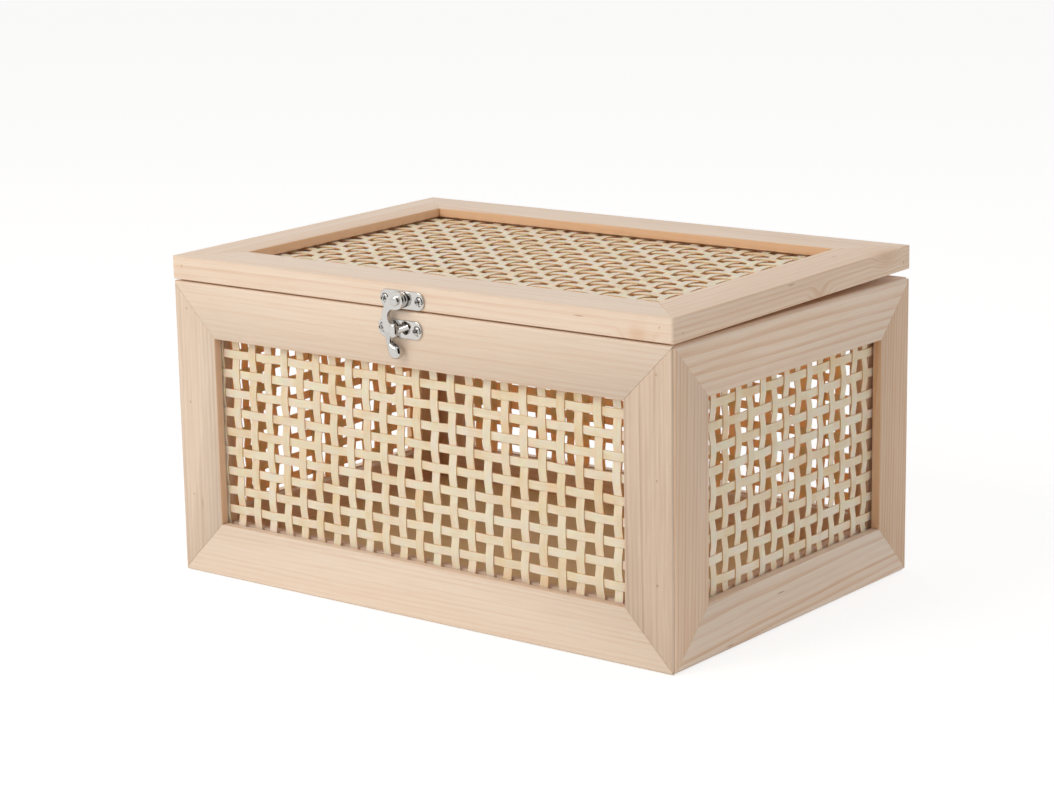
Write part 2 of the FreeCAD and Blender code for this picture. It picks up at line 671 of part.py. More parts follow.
# Hook: its outline, sideways and upwards from the pivot, clockwise from the right of the eye
HOOK_OUTLINE = [
    (4.3, 0.0), (3.1, -3.0), (0.2, -4.3), (-2.8, -4.3), (-4.6, -5.8), (-5.3, -7.9),
    (-4.8, -9.7), (-3.4, -11.0), (-1.4, -11.6), (-1.0, -14.0), (-1.2, -16.6), (-3.2, -17.6),
    (-3.3, -19.2), (-2.2, -20.9), (0.2, -21.0), (2.1, -22.6), (2.2, -25.3), (0.6, -27.2),
    (-1.8, -27.6), (-4.1, -26.3), (-5.3, -23.6), (-5.8, -20.4), (-6.5, -17.3), (-7.7, -13.9),
    (-8.5, -10.2), (-8.3, -6.6), (-7.2, -3.4), (-5.4, -0.2), (-3.1, 3.0), (0.0, 4.3),
    (3.1, 3.0),
]
outline = Part.BSplineCurve()
outline.interpolate([PIVOT + Vector(x, 0, z) for x, z in HOOK_OUTLINE], PeriodicFlag=True)
face = Part.Face(Part.Wire(outline.toShape()))
hook_plate = face.extrude(OUT * dim("hook_thick"))
hook_plate.translate(OUT * dim("hook_low"))
blade = doc.addObject("Part::Feature", "hook_blade")
blade.Shape = hook_plate
knob = doc.addObject("Part::Ellipsoid", "hook_knob")
bind(knob, Radius1="dims.knob_half_depth", Radius2="dims.knob_radius",
     Radius3="dims.knob_radius", Angle1="-90", Angle2="90", Angle3="360")
knob.Placement = Placement(
    PIVOT + Vector(dim("knob_x"), 0, -dim("knob_drop")) + OUT * dim("knob_out"),
    Rotation(X_AXIS, Z_AXIS, OUT, "XYZ"))
eye = cylinder("hook_eye", "dims.pivot_radius + dims.pivot_play",
               "dims.hook_low + dims.hook_thick + dims.overcut", PIVOT, OUT)
# Where the neck stands beside the level lid, for the notch
neck_in_lid = LEAN.inverse().multVec(NECK)
notch_end = cylinder("hook_notch_end", "dims.neck_radius + dims.neck_play",
                     "2 * (dims.hook_low + dims.hook_thick)", neck_in_lid, OUT)
notch_half = dim("neck_radius") + dim("neck_play")
notch_mouth = box("hook_notch_mouth", "dims.notch_reach", "2 * (dims.hook_low + dims.hook_thick)",
                  "2 * (dims.neck_radius + dims.neck_play)",
                  neck_in_lid + OUT * (2 * (dim("hook_low") + dim("hook_thick")))
                  - Z_AXIS * notch_half)
notch = fuse("hook_notch", [notch_end, notch_mouth])
blank = fuse("latch_hook_blank", [blade, knob])
keep("latch_hook", cut("latch_hook", blank, [eye, notch]), LEAN)

# Brads: three through each upright corner, and one through each end of each lid edge
corner_brads = []
for across in (-1, 1):
    for away in (-1, 1):
        side = "left" if across < 0 else "right"
        names = ["front_%s_stile" % side, side + "_front_stile"]
        if away > 0:
            names = ["back_%s_stile" % side, side + "_rear_stile"]
        for k in range(int(dim("brad_count"))):
            drop = dim("brad_first_drop") + dim("brad_pitch") * k
            start = Vector(across * (HALF_WIDTH - dim("brad_inset")), away * HALF_DEPTH,
                           HEIGHT - drop)
            drive = Y_AXIS * -away
            name = "corner_brad_%s_%d" % (names[0], k)
            corner_brads.append(cylinder(
                name, "dims.brad_radius", "dims.brad_length - dims.brad_sink",
                start + drive * dim("brad_sink"), drive))
            hole = cylinder(name + "_hole", "dims.brad_radius + dims.screw_fit",
                            "dims.brad_length + dims.overcut + dims.screw_fit",
                            start - drive * dim("overcut"), drive)
            # Past the mitre, the highest brad of a corner runs on into the side's top rail
            drill(names + [side + "_top_rail"], hole)
keep("corner_brads", compound("corner_brads", corner_brads))

lid_brads = []
for across in (-1, 1):
    for away in (-1, 1):
        end_rail = "lid_front_rail" if away < 0 else "lid_back_rail"
        side_rail = "lid_left_rail" if across < 0 else "lid_right_rail"
        inset = dim("lid_brad_inset")
        shots = {
            "end": (Vector(across * (HALF_WIDTH - inset), away * HALF_DEPTH,
                           LID_TOP - dim("lid_brad_front_drop")), Y_AXIS * -away),
            "side": (Vector(across * HALF_WIDTH, away * (HALF_DEPTH - inset),
                            LID_TOP - dim("lid_brad_side_drop")), X_AXIS * -across),
        }
        for kind, (start, drive) in shots.items():
            name = "lid_brad_%s_%s_%s" % (kind, end_rail, side_rail)
            lid_brads.append(cylinder(
                name, "dims.brad_radius", "dims.brad_length - dims.brad_sink",
                start + drive * dim("brad_sink"), drive))
            hole = cylinder(name + "_hole", "dims.brad_radius + dims.screw_fit",
                            "dims.brad_length + dims.overcut + dims.screw_fit",
                            start - drive * dim("overcut"), drive)
            drill([end_rail, side_rail], hole)
keep("lid_brads", compound("lid_brads", lid_brads), LEAN)

# Frame members, with their holes and housings taken out
for name, body in members.items():
    lean = LEAN if name in LID.names.values() else LEVEL
    keep(name, cut(name, body, drills[name]) if name in drills else body, lean)

doc.recompute()
for feature in doc.Objects:
    if "Invalid" in feature.State or "Error" in feature.State:
        raise RuntimeError("%s failed: %s" % (feature.Name, feature.State))
os.makedirs("parts", exist_ok=True)
for node, feature in parts.items():
    shape = feature.Shape
    if shape.isNull() or not shape.isValid() or not shape.Solids:
        raise RuntimeError("%s has no valid solid" % node)
    print("%-26s %3d solids %4d faces %11.2f mm3" % (
        node, len(shape.Solids), len(shape.Faces), shape.Volume))
    shape.exportStep(os.path.join("parts", node + ".step"))
whole = Part.makeCompound([feature.Shape for feature in parts.values()]).BoundBox
print("%d nodes, X %.2f to %.2f, Y %.2f to %.2f, Z %.2f to %.2f" % (
    len(parts), whole.XMin, whole.XMax, whole.YMin, whole.YMax, whole.ZMin, whole.ZMax))
print("pin at Y %.3f Z %.3f" % (PIN_Y, PIN_Z))
turned_pivot = LEAN.multVec(PIVOT)
print("pivot at %.3f %.3f %.3f, along %.5f %.5f %.5f" % (
    turned_pivot.x, turned_pivot.y, turned_pivot.z, *LEAN.Rotation.multVec(Y_AXIS)))
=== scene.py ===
import json
import logging
import math
import random
from dataclasses import dataclass
from enum import Enum
from typing import Iterable, Optional, Sequence, Union

import bmesh
import bpy
import numpy as np
from mathutils import Euler, Matrix, Vector
from mathutils.geometry import delaunay_2d_cdt


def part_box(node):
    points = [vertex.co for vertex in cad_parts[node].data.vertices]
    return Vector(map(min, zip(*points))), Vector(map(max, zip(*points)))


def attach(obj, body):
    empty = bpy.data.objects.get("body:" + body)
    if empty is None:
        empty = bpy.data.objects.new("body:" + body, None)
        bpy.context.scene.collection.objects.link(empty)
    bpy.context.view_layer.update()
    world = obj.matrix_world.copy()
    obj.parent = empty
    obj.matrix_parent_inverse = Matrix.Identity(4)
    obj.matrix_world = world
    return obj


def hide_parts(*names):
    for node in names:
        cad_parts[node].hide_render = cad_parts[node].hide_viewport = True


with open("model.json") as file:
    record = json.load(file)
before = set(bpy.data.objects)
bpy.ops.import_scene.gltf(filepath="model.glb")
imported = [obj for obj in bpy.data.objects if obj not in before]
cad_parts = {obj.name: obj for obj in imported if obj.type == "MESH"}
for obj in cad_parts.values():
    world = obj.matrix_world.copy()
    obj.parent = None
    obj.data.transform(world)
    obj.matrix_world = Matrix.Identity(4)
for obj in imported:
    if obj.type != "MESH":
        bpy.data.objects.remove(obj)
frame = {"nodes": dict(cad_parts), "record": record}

Socket = bpy.types.NodeSocket
Number = Union[float, Socket]
Colour = Union[tuple[float, float, float, float], Socket]

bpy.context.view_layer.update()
MM = 0.001
log = logging.getLogger("cane_box")

X_AXIS, Y_AXIS, Z_AXIS = Vector((1, 0, 0)), Vector((0, 1, 0)), Vector((0, 0, 1))
HALF_WIDTH, HALF_DEPTH, HEIGHT = 150.0 * MM, 101.0 * MM, 148.0 * MM
LID_LOW, LID_TOP = 152.0 * MM, 163.5 * MM
LID_LEAN = math.radians(0.93)
PIN = Vector((0.0, 103.0, 150.0)) * MM
WELD = 1e-6
SMOOTH_DEG = 40.0


# Colour and node helpers
def linear(colour: str) -> tuple[float, float, float, float]:
    """Turn an sRGB hex value into linear RGBA.

    Args:
        colour: Six hex digits with a leading hash.

    Returns:
        Linear red, green, blue and an alpha of one.
    """
    channels = [int(colour[k:k + 2], 16) / 255 for k in (1, 3, 5)]
    red, green, blue = (
        c / 12.92 if c <= 0.04045 else ((c + 0.055) / 1.055) ** 2.4 for c in channels)
    return red, green, blue, 1.0


def add(tree: bpy.types.NodeTree, kind: str, inputs: Optional[dict] = None,
        **settings: object) -> bpy.types.Node:
    """Add a node with its settings and links.

    Args:
        tree: The tree that takes the node.
        kind: The node's Blender type name.
        inputs: Input name or number to a value, or to an output socket to link.
        settings: Properties of the node itself.

    Returns:
        The new node.
    """
    node = tree.nodes.new(kind)
    for name, value in settings.items():
        setattr(node, name, value)
    for key, value in (inputs or {}).items():
        if isinstance(value, Socket):
            tree.links.new(value, node.inputs[key])
        else:
            node.inputs[key].default_value = value
    return node


def blend_colour(tree: bpy.types.NodeTree, factor: Number, first: Colour,
                 second: Colour) -> Socket:
    """Mix two colours.

    Args:
        tree: The material's tree.
        factor: A socket or a number from nought to one.
        first: Colour or socket at nought.
        second: Colour or socket at one.

    Returns:
        The mixed colour's socket.
    """
    node = add(tree, "ShaderNodeMix", {0: factor, 6: first, 7: second}, data_type="RGBA")
    return node.outputs[2]


def remap(tree: bpy.types.NodeTree, value: Socket, low: float, high: float,
          to_low: float = 0.0, to_high: float = 1.0) -> Socket:
    """Stretch a value from one range to another, eased and held at both ends.

    Args:
        tree: The tree that takes the node.
        value: Socket of the value.
        low: Value that becomes to_low.
        high: Value that becomes to_high.
        to_low: Result at low.
        to_high: Result at high.

    Returns:
        The stretched value's socket.
    """
    node = add(tree, "ShaderNodeMapRange", {
        "Value": value, "From Min": low, "From Max": high, "To Min": to_low, "To Max": to_high},
        interpolation_type="SMOOTHSTEP")
    return node.outputs[0]


def reckon(tree: bpy.types.NodeTree, operation: str, first: Number,
           second: Number = 0.0) -> Socket:
    """Work out one sum.

    Args:
        tree: The tree that takes the node.
        operation: Blender's name of the operation.
        first: Socket or number.
        second: Socket or number.

    Returns:
        The result's socket.
    """
    return add(tree, "ShaderNodeMath", {0: first, 1: second}, operation=operation).outputs[0]


def length_of(tree: bpy.types.NodeTree, vector: Socket, factors: Sequence[float]) -> Socket:
    """Length of a vector after its parts are multiplied.

    Args:
        tree: The material's tree.
        vector: Socket of the vector.
        factors: What each of its parts is multiplied by.

    Returns:
        The length's socket.
    """
    drawn = add(tree, "ShaderNodeVectorMath", {0: vector, 1: factors}, operation="MULTIPLY")
    return add(tree, "ShaderNodeVectorMath", {0: drawn.outputs[0]}, operation="LENGTH"
               ).outputs["Value"]


def new_material(name: str) -> tuple[bpy.types.Material, bpy.types.NodeTree, bpy.types.Node]:
    """Start a material with one surface shader.

    Args:
        name: The material's name.

    Returns:
        The material, its tree and its surface shader.
    """
    material = bpy.data.materials.new(name)
    material.use_nodes = True
    tree = material.node_tree
    shader = next(node for node in tree.nodes if node.type == "BSDF_PRINCIPLED")
    return material, tree, shader


class Cut(Enum):
    """How a stick was sawn from the log, as seen on its face."""

    RIFT = "close, nearly straight lines"
    FLAT = "broad, wandering bands"


@dataclass(frozen=True)
class Figure:
    """How one stick's wood looks.

    Tone is the share of the late wood's colour over the whole stick, contrast that of a ring's
    dark line, knots are points near a face that the rings run round, and late is the late wood's
    own colour where it isn't the usual one.
    """

    cut: Cut = Cut.RIFT
    tone: float = 0.06
    contrast: float = 0.42
    knots: tuple[Vector, ...] = ()
    late: Optional[str] = None


@dataclass(frozen=True)
class BarePine:
    """Bare pine: planed and sanded, so matt and pale, with soft growth lines and few resin ducts."""

    early: str = "#F1DECB"
    late: str = "#DBB28E"
    # Painted warm shade for the inner faces and the openings' sides, standing in for light bounced
    # inside the box
    warm_shade: str = "#DCA468"
    duct: str = "#A06C44"
    roughness: float = 0.56
    specular: float = 0.35
    ring_mm: float = 2.4
    # Shares of a ring: it darkens slowly between the first two, and fades quickly after the last
    late_starts: float = 0.30
    late_full: float = 0.84
    late_ends: float = 0.88
    weakest_ring: float = 0.25
    wander_mm: float = 5.0
    wander_length_mm: float = 26.0
    wander_detail: float = 2.5
    # Real fibre is about 0.04 mm wide; it is drawn coarser, so that it shows at all
    fibre_mm: float = 0.4
    fibre_relief_mm: float = 0.08
    fibre_relief_share: float = 0.15
    # A streak is a bundle of fibres, so its noise has this share of their scale
    streak_scale: float = 0.28
    # How far each of these takes the tone to the pale side and to the dark side
    cloud_tone: tuple[float, float] = (-0.08, 0.08)
    fibre_tone: tuple[float, float] = (-0.06, 0.08)
    streak_tone: tuple[float, float] = (-0.04, 0.1)
    least_tone: float = 0.1
    # About one cell in ten has a duct, which fills the middle of its cell
    duct_mm: float = 5.5
    duct_chosen: tuple[float, float] = (0.86, 0.90)
    duct_reach: tuple[float, float] = (0.085, 0.03)
    duct_share: float = 0.6
    knot_mm: float = 10.0
    knot_narrow: float = 0.6
    knot_tone: float = 0.3
    pull_mm: float = 6.5
    along_stretch: float = 9.0
    fibre_stretch: float = 45.0
    tilt_deg: float = 1.6
    shift_reach: float = 2.0

    def material(self, name: str, along: Vector, heart: Vector, draw: random.Random,
                 figure: Figure) -> bpy.types.Material:
        """Make the finish for one piece of wood.

        Args:
            name: The piece's name.
            along: Direction of its grain, along X, Y or Z.
            heart: A point on the middle of the tree that it was sawn from.
            draw: Source of the piece's own figure.
            figure: How strongly its growth rings show, its tone and its knots.

        Returns:
            The material.
        """
        material, tree, shader = new_material("pine_" + name)
        place = add(tree, "ShaderNodeTexCoord").outputs["Object"]
        grain = max(range(3), key=lambda k: abs(along[k]))
        shift = Vector([draw.uniform(0.0, self.shift_reach) for _ in range(3)])

        def squeezed(stretch: float) -> Socket:
            """Place on the piece, drawn out along the grain."""
            scale = [1.0, 1.0, 1.0]
            scale[grain] = 1.0 / stretch
            return add(tree, "ShaderNodeMapping", {
                "Vector": place, "Location": shift, "Scale": scale}).outputs[0]

        # Growth rings round a slightly tilted heart, which wander along the stick
        tilt = Euler([0.0 if k == grain else math.radians(draw.uniform(-1, 1) * self.tilt_deg)
                      for k in range(3)])
        centred = add(tree, "ShaderNodeMapping", {
            "Vector": place, "Rotation": tilt, "Location": -(tilt.to_matrix() @ heart)}).outputs[0]
        mask = [1.0, 1.0, 1.0]
        mask[grain] = 0.0
        radius = length_of(tree, centred, mask)
        slow = add(tree, "ShaderNodeTexNoise", {
            "Vector": squeezed(self.along_stretch), "Scale": 1.0 / (self.wander_length_mm * MM),
            "Detail": self.wander_detail}).outputs["Fac"]
        wandered = reckon(tree, "ADD", radius, reckon(tree, "MULTIPLY", slow, self.wander_mm * MM))
        dark_knots = 0.0
        for knot in figure.knots:
            offset = add(tree, "ShaderNodeMapping", {"Vector": place, "Location": -knot}).outputs[0]
            narrow = [1.0, 1.0, 1.0]
            narrow[grain] = self.knot_narrow
            near = remap(tree, length_of(tree, offset, narrow), self.knot_mm * MM, 0.0)
            pull = reckon(tree, "MULTIPLY", near, self.pull_mm * MM)
            wandered = reckon(tree, "ADD", wandered, pull)
            dark_knots = reckon(tree, "ADD", dark_knots,
                                reckon(tree, "MULTIPLY", near, self.knot_tone))
        count = reckon(tree, "DIVIDE", wandered, self.ring_mm * MM)
        phase = reckon(tree, "FRACT", count)
        late = reckon(tree, "MULTIPLY", remap(tree, phase, self.late_starts, self.late_full),
                      remap(tree, phase, 1.0, self.late_ends))
        number = reckon(tree, "FLOOR", count)
        strength = add(tree, "ShaderNodeTexWhiteNoise", {
            "W": reckon(tree, "ADD", number, shift.x)}, noise_dimensions="1D").outputs["Value"]
        rings = reckon(tree, "MULTIPLY", late,
                       remap(tree, strength, 0.0, 1.0, self.weakest_ring, 1.0))

        # Fibre, broad tone and resin ducts
        fibre = add(tree, "ShaderNodeTexNoise", {
            "Vector": squeezed(self.fibre_stretch), "Scale": 1.0 / (self.fibre_mm * MM),
            "Detail": 2.0}).outputs["Fac"]
        streak = add(tree, "ShaderNodeTexNoise", {
            "Vector": squeezed(self.fibre_stretch),
            "Scale": self.streak_scale / (self.fibre_mm * MM), "Detail": 1.0}).outputs["Fac"]
        cloud = remap(tree, slow, 0.3, 0.7, *self.cloud_tone)
        weight = reckon(tree, "ADD", reckon(tree, "MULTIPLY", rings, figure.contrast), cloud)
        weight = reckon(tree, "ADD", weight, dark_knots)
        weight = reckon(tree, "ADD", weight, remap(tree, fibre, 0.35, 0.65, *self.fibre_tone))
        weight = reckon(tree, "ADD", weight, remap(tree, streak, 0.35, 0.7, *self.streak_tone))
        weight = add(tree, "ShaderNodeMath", {0: weight, 1: self.least_tone + figure.tone},
                     operation="ADD", use_clamp=True).outputs[0]
        wood = blend_colour(tree, weight, linear(self.early), linear(figure.late or self.late))
        ducts = add(tree, "ShaderNodeTexVoronoi", {
            "Vector": squeezed(self.along_stretch), "Scale": 1.0 / (self.duct_mm * MM)})
        cell = add(tree, "ShaderNodeSeparateColor", {0: ducts.outputs["Color"]}).outputs[0]
        spot = reckon(tree, "MULTIPLY", remap(tree, cell, *self.duct_chosen),
                      remap(tree, ducts.outputs["Distance"], *self.duct_reach))
        spot = reckon(tree, "MULTIPLY", spot, self.duct_share)
        wood = blend_colour(tree, spot, wood, linear(self.duct))

        # Painted shade: the inner faces and the sides of the openings take a warmer, darker colour
        # that stands in for light bounced inside the box
        warm_shade_share = add(tree, "ShaderNodeAttribute", attribute_name="painted_warm_shade").outputs["Fac"]
        wood = blend_colour(tree, warm_shade_share, wood, linear(self.warm_shade))
        tree.links.new(wood, shader.inputs["Base Color"])
        relief = add(tree, "ShaderNodeBump", {
            "Height": fibre, "Strength": self.fibre_relief_share,
            "Distance": self.fibre_relief_mm * MM}).outputs[0]
        tree.links.new(relief, shader.inputs["Normal"])
        shader.inputs["Roughness"].default_value = self.roughness
        shader.inputs["Specular IOR Level"].default_value = self.specular
        return material


@dataclass(frozen=True)
class SplitCane:
    """Split cane: the bark side is smooth and pale; the cut edges are painted browner as shade, and
    the pith side, facing into the box, is painted warm orange for light bounced inside it.
    """

    pale: str = "#F5E6D2"
    straw: str = "#EBD0AC"
    # Painted shade on the strips' cut edges
    edge: str = "#DCB48A"
    # Painted bounce light: a warm orange on the pith side, which faces into the box
    pith_bounce: str = "#F6CA90"
    roughness: float = 0.5
    specular: float = 0.35
    # Light goes a millimetre or so into the thin strip, red furthest, so it glows when lit behind
    glow_share: float = 0.55
    glow_mm: tuple[float, float, float] = (1.6, 0.85, 0.32)
    # Real fibre bundles are about 0.1 mm apart; they are drawn coarser, so that they show
    fibre_mm: float = 0.45
    fibre_relief_mm: float = 0.06
    fibre_relief_share: float = 0.22
    cloud_mm: float = 14.0
    fibre_stretch: float = 60.0
    # How far a strip's own tone, its clouds and its fibres take the colour to straw
    strip_tint: float = 0.38
    cloud_tint: float = 0.55
    fibre_tint: tuple[float, float] = (-0.10, 0.26)
    # How far apart two strips lie in the pattern, so that no two look alike
    strip_shift: float = 40.0

    def material(self, name: str) -> bpy.types.Material:
        """Make the finish from the strip's own UV map: U across, V along, both in metres.

        Args:
            name: Name of the panel.

        Returns:
            The material.
        """
        material, tree, shader = new_material("cane_" + name)
        lay = add(tree, "ShaderNodeUVMap", uv_map="strip").outputs[0]
        strip = add(tree, "ShaderNodeAttribute", attribute_name="strip_tone").outputs["Fac"]
        shift = add(tree, "ShaderNodeCombineXYZ", {
            "Z": reckon(tree, "MULTIPLY", strip, self.strip_shift)}).outputs[0]

        def noise(size_mm: float, stretch: float) -> Socket:
            """Noise of one size, drawn out along the strip."""
            along = add(tree, "ShaderNodeMapping", {
                "Vector": lay, "Scale": (1.0 / (size_mm * MM), 1.0 / (size_mm * stretch * MM), 1.0)})
            moved = add(tree, "ShaderNodeVectorMath", {0: along.outputs[0], 1: shift}, operation="ADD")
            return add(tree, "ShaderNodeTexNoise", {
                "Vector": moved.outputs[0], "Scale": 1.0, "Detail": 2.0}).outputs["Fac"]

        fibre = noise(self.fibre_mm, self.fibre_stretch)
        cloud = noise(self.cloud_mm, 1.0)
        tint = reckon(tree, "ADD", remap(tree, strip, 0.0, 1.0, 0.0, self.strip_tint),
                      remap(tree, cloud, 0.42, 0.72, 0.0, self.cloud_tint))
        fine = remap(tree, fibre, 0.3, 0.7, *self.fibre_tint)
        tint = add(tree, "ShaderNodeMath", {0: tint, 1: fine}, operation="ADD", use_clamp=True
                   ).outputs[0]
        bark = blend_colour(tree, tint, linear(self.pale), linear(self.straw))
        # The cut edges take painted shade, and the pith side painted warm bounce light
        for attribute, colour in (("shaded_cut_edge", self.edge), ("pith_side_bounce", self.pith_bounce)):
            share = add(tree, "ShaderNodeAttribute", attribute_name=attribute).outputs["Fac"]
            bark = blend_colour(tree, share, bark, linear(colour))
        tree.links.new(bark, shader.inputs["Base Color"])
        relief = add(tree, "ShaderNodeBump", {
            "Height": fibre, "Strength": self.fibre_relief_share,
            "Distance": self.fibre_relief_mm * MM}).outputs[0]
        tree.links.new(relief, shader.inputs["Normal"])
        shader.inputs["Roughness"].default_value = self.roughness
        shader.inputs["Specular IOR Level"].default_value = self.specular
        shader.inputs["Subsurface Weight"].default_value = self.glow_share
        shader.inputs["Subsurface Radius"].default_value = self.glow_mm
        shader.inputs["Subsurface Scale"].default_value = MM
        return material


@dataclass(frozen=True)
class Metal:
    """A plated or bare metal: mirror-like where polished, clouded where it is rough."""

    name: str
    colour: str
    roughness: float
    mottle: float = 0.06
    mottle_mm: float = 2.2
    ripple_mm: float = 0.0

    def material(self) -> bpy.types.Material:
        """Make the finish.

        Returns:
            The material.
        """
        material, tree, shader = new_material(self.name)
        place = add(tree, "ShaderNodeTexCoord").outputs["Object"]
        cloud = add(tree, "ShaderNodeTexNoise", {
            "Vector": place, "Scale": 1.0 / (self.mottle_mm * MM), "Detail": 2.0}).outputs["Fac"]
        rough = remap(tree, cloud, 0.3, 0.7, self.roughness, self.roughness + self.mottle)
        tree.links.new(rough, shader.inputs["Roughness"])
        if self.ripple_mm:
            waves = add(tree, "ShaderNodeBump", {
                "Height": cloud, "Strength": 1.0, "Distance": self.ripple_mm * MM}).outputs[0]
            tree.links.new(waves, shader.inputs["Normal"])
        shader.inputs["Base Color"].default_value = linear(self.colour)
        shader.inputs["Metallic"].default_value = 1.0
        return material


PINE = BarePine()
# The bottom board is thin plywood with a rotary-cut face
BOARD = BarePine(early="#F3DCAE", late="#DEC08A", duct="#8A5E36", ring_mm=6.0)
CANE = SplitCane()
# Cast zinc with bright nickel plate: the casting is never quite flat under it
NICKEL = Metal("bright_nickel", "#C9C7C4", 0.05, mottle=0.04, mottle_mm=3.4, ripple_mm=0.07)
# The screws have the same plate over drawn wire, which keeps it duller
SCREW_NICKEL = Metal("nickel_screws", "#BDBBB8", 0.2, mottle=0.05)
# Stamped steel leaves with a thin nickel plate
HINGE_STEEL = Metal("hinge_steel", "#CFCBC4", 0.26)
# Plain drawn wire, a little oxidised
BRAD_STEEL = Metal("brad_steel", "#6E5848", 0.5)


# Mesh helpers
def as_piece(name: str, mesh: bpy.types.Mesh, material: bpy.types.Material, body: str,
             replaced: Iterable[str] = ()) -> None:
    """Hang a finished mesh on its body.

    Args:
        name: The piece's name.
        mesh: Its mesh, in the row's frame.
        material: Its finish.
        body: The body that carries it.
        replaced: CAD nodes that it stands for.
    """
    piece = bpy.data.objects.new(name, mesh)
    bpy.context.scene.collection.objects.link(piece)
    mesh.materials.clear()
    mesh.materials.append(material)
    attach(piece, body)
    names = list(replaced)
    if names:
        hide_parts(*names)
    log.info("%s: %d faces on %s", name, len(mesh.polygons), body)


def settle(mesh: bpy.types.Mesh, smooth_deg: float) -> None:
    """Weld a mesh, point its faces outwards, and shade it smooth but for its sharp edges.

    Args:
        mesh: The mesh to settle.
        smooth_deg: Angle above which an edge stays sharp.
    """
    shape = bmesh.new()
    shape.from_mesh(mesh)
    bmesh.ops.remove_doubles(shape, verts=shape.verts, dist=WELD)
    bmesh.ops.recalc_face_normals(shape, faces=shape.faces)
    shape.to_mesh(mesh)
    shape.free()
    mesh.shade_smooth()
    mesh.set_sharp_from_angle(angle=math.radians(smooth_deg))


def mark_faces(mesh: bpy.types.Mesh, name: str, directions: dict[float, Sequence[Vector]],
               least: float = 0.7) -> None:
    """Store a number on the faces that look a given way.

    Args:
        mesh: The mesh.
        name: The attribute's name.
        directions: Number to the directions whose faces take it.
        least: Smallest cosine between a face's normal and such a direction.
    """
    count = len(mesh.polygons)
    normals = np.empty(count * 3, dtype=np.float32)
    mesh.polygons.foreach_get("normal", normals)
    normals = normals.reshape(-1, 3)
    values = np.zeros(count, dtype=np.float32)
    for value, ways in directions.items():
        for way in ways:
            values[normals @ np.array(way) > least] = value
    attribute = mesh.attributes.new(name, "FLOAT", "FACE")
    attribute.data.foreach_set("value", values)


def lean_lid(mesh: bpy.types.Mesh) -> None:
    """Lean a mesh drawn on the level lid down to the front, about the hinge pin."""
    mesh.transform(Matrix.Translation(PIN) @ Matrix.Rotation(LID_LEAN, 4, "X")
                   @ Matrix.Translation(-PIN))


def cut_away(mesh: bpy.types.Mesh, tool: bpy.types.Mesh, smooth_deg: float) -> bpy.types.Mesh:
    """Cut one closed mesh out of another.

    Args:
        mesh: The mesh to cut.
        tool: The mesh to take away.
        smooth_deg: Angle above which an edge stays sharp.

    Returns:
        The cut mesh.
    """
    holders = [bpy.data.objects.new("cut_holder", each) for each in (mesh, tool)]
    for holder in holders:
        bpy.context.scene.collection.objects.link(holder)
    modifier = holders[0].modifiers.new("cut", "BOOLEAN")
    modifier.operation, modifier.solver, modifier.object = "DIFFERENCE", "EXACT", holders[1]
    bpy.context.view_layer.update()
    graph = bpy.context.evaluated_depsgraph_get()
    result = bpy.data.meshes.new_from_object(holders[0].evaluated_get(graph))
    for holder in holders:
        bpy.data.objects.remove(holder)
    settle(result, smooth_deg)
    return result


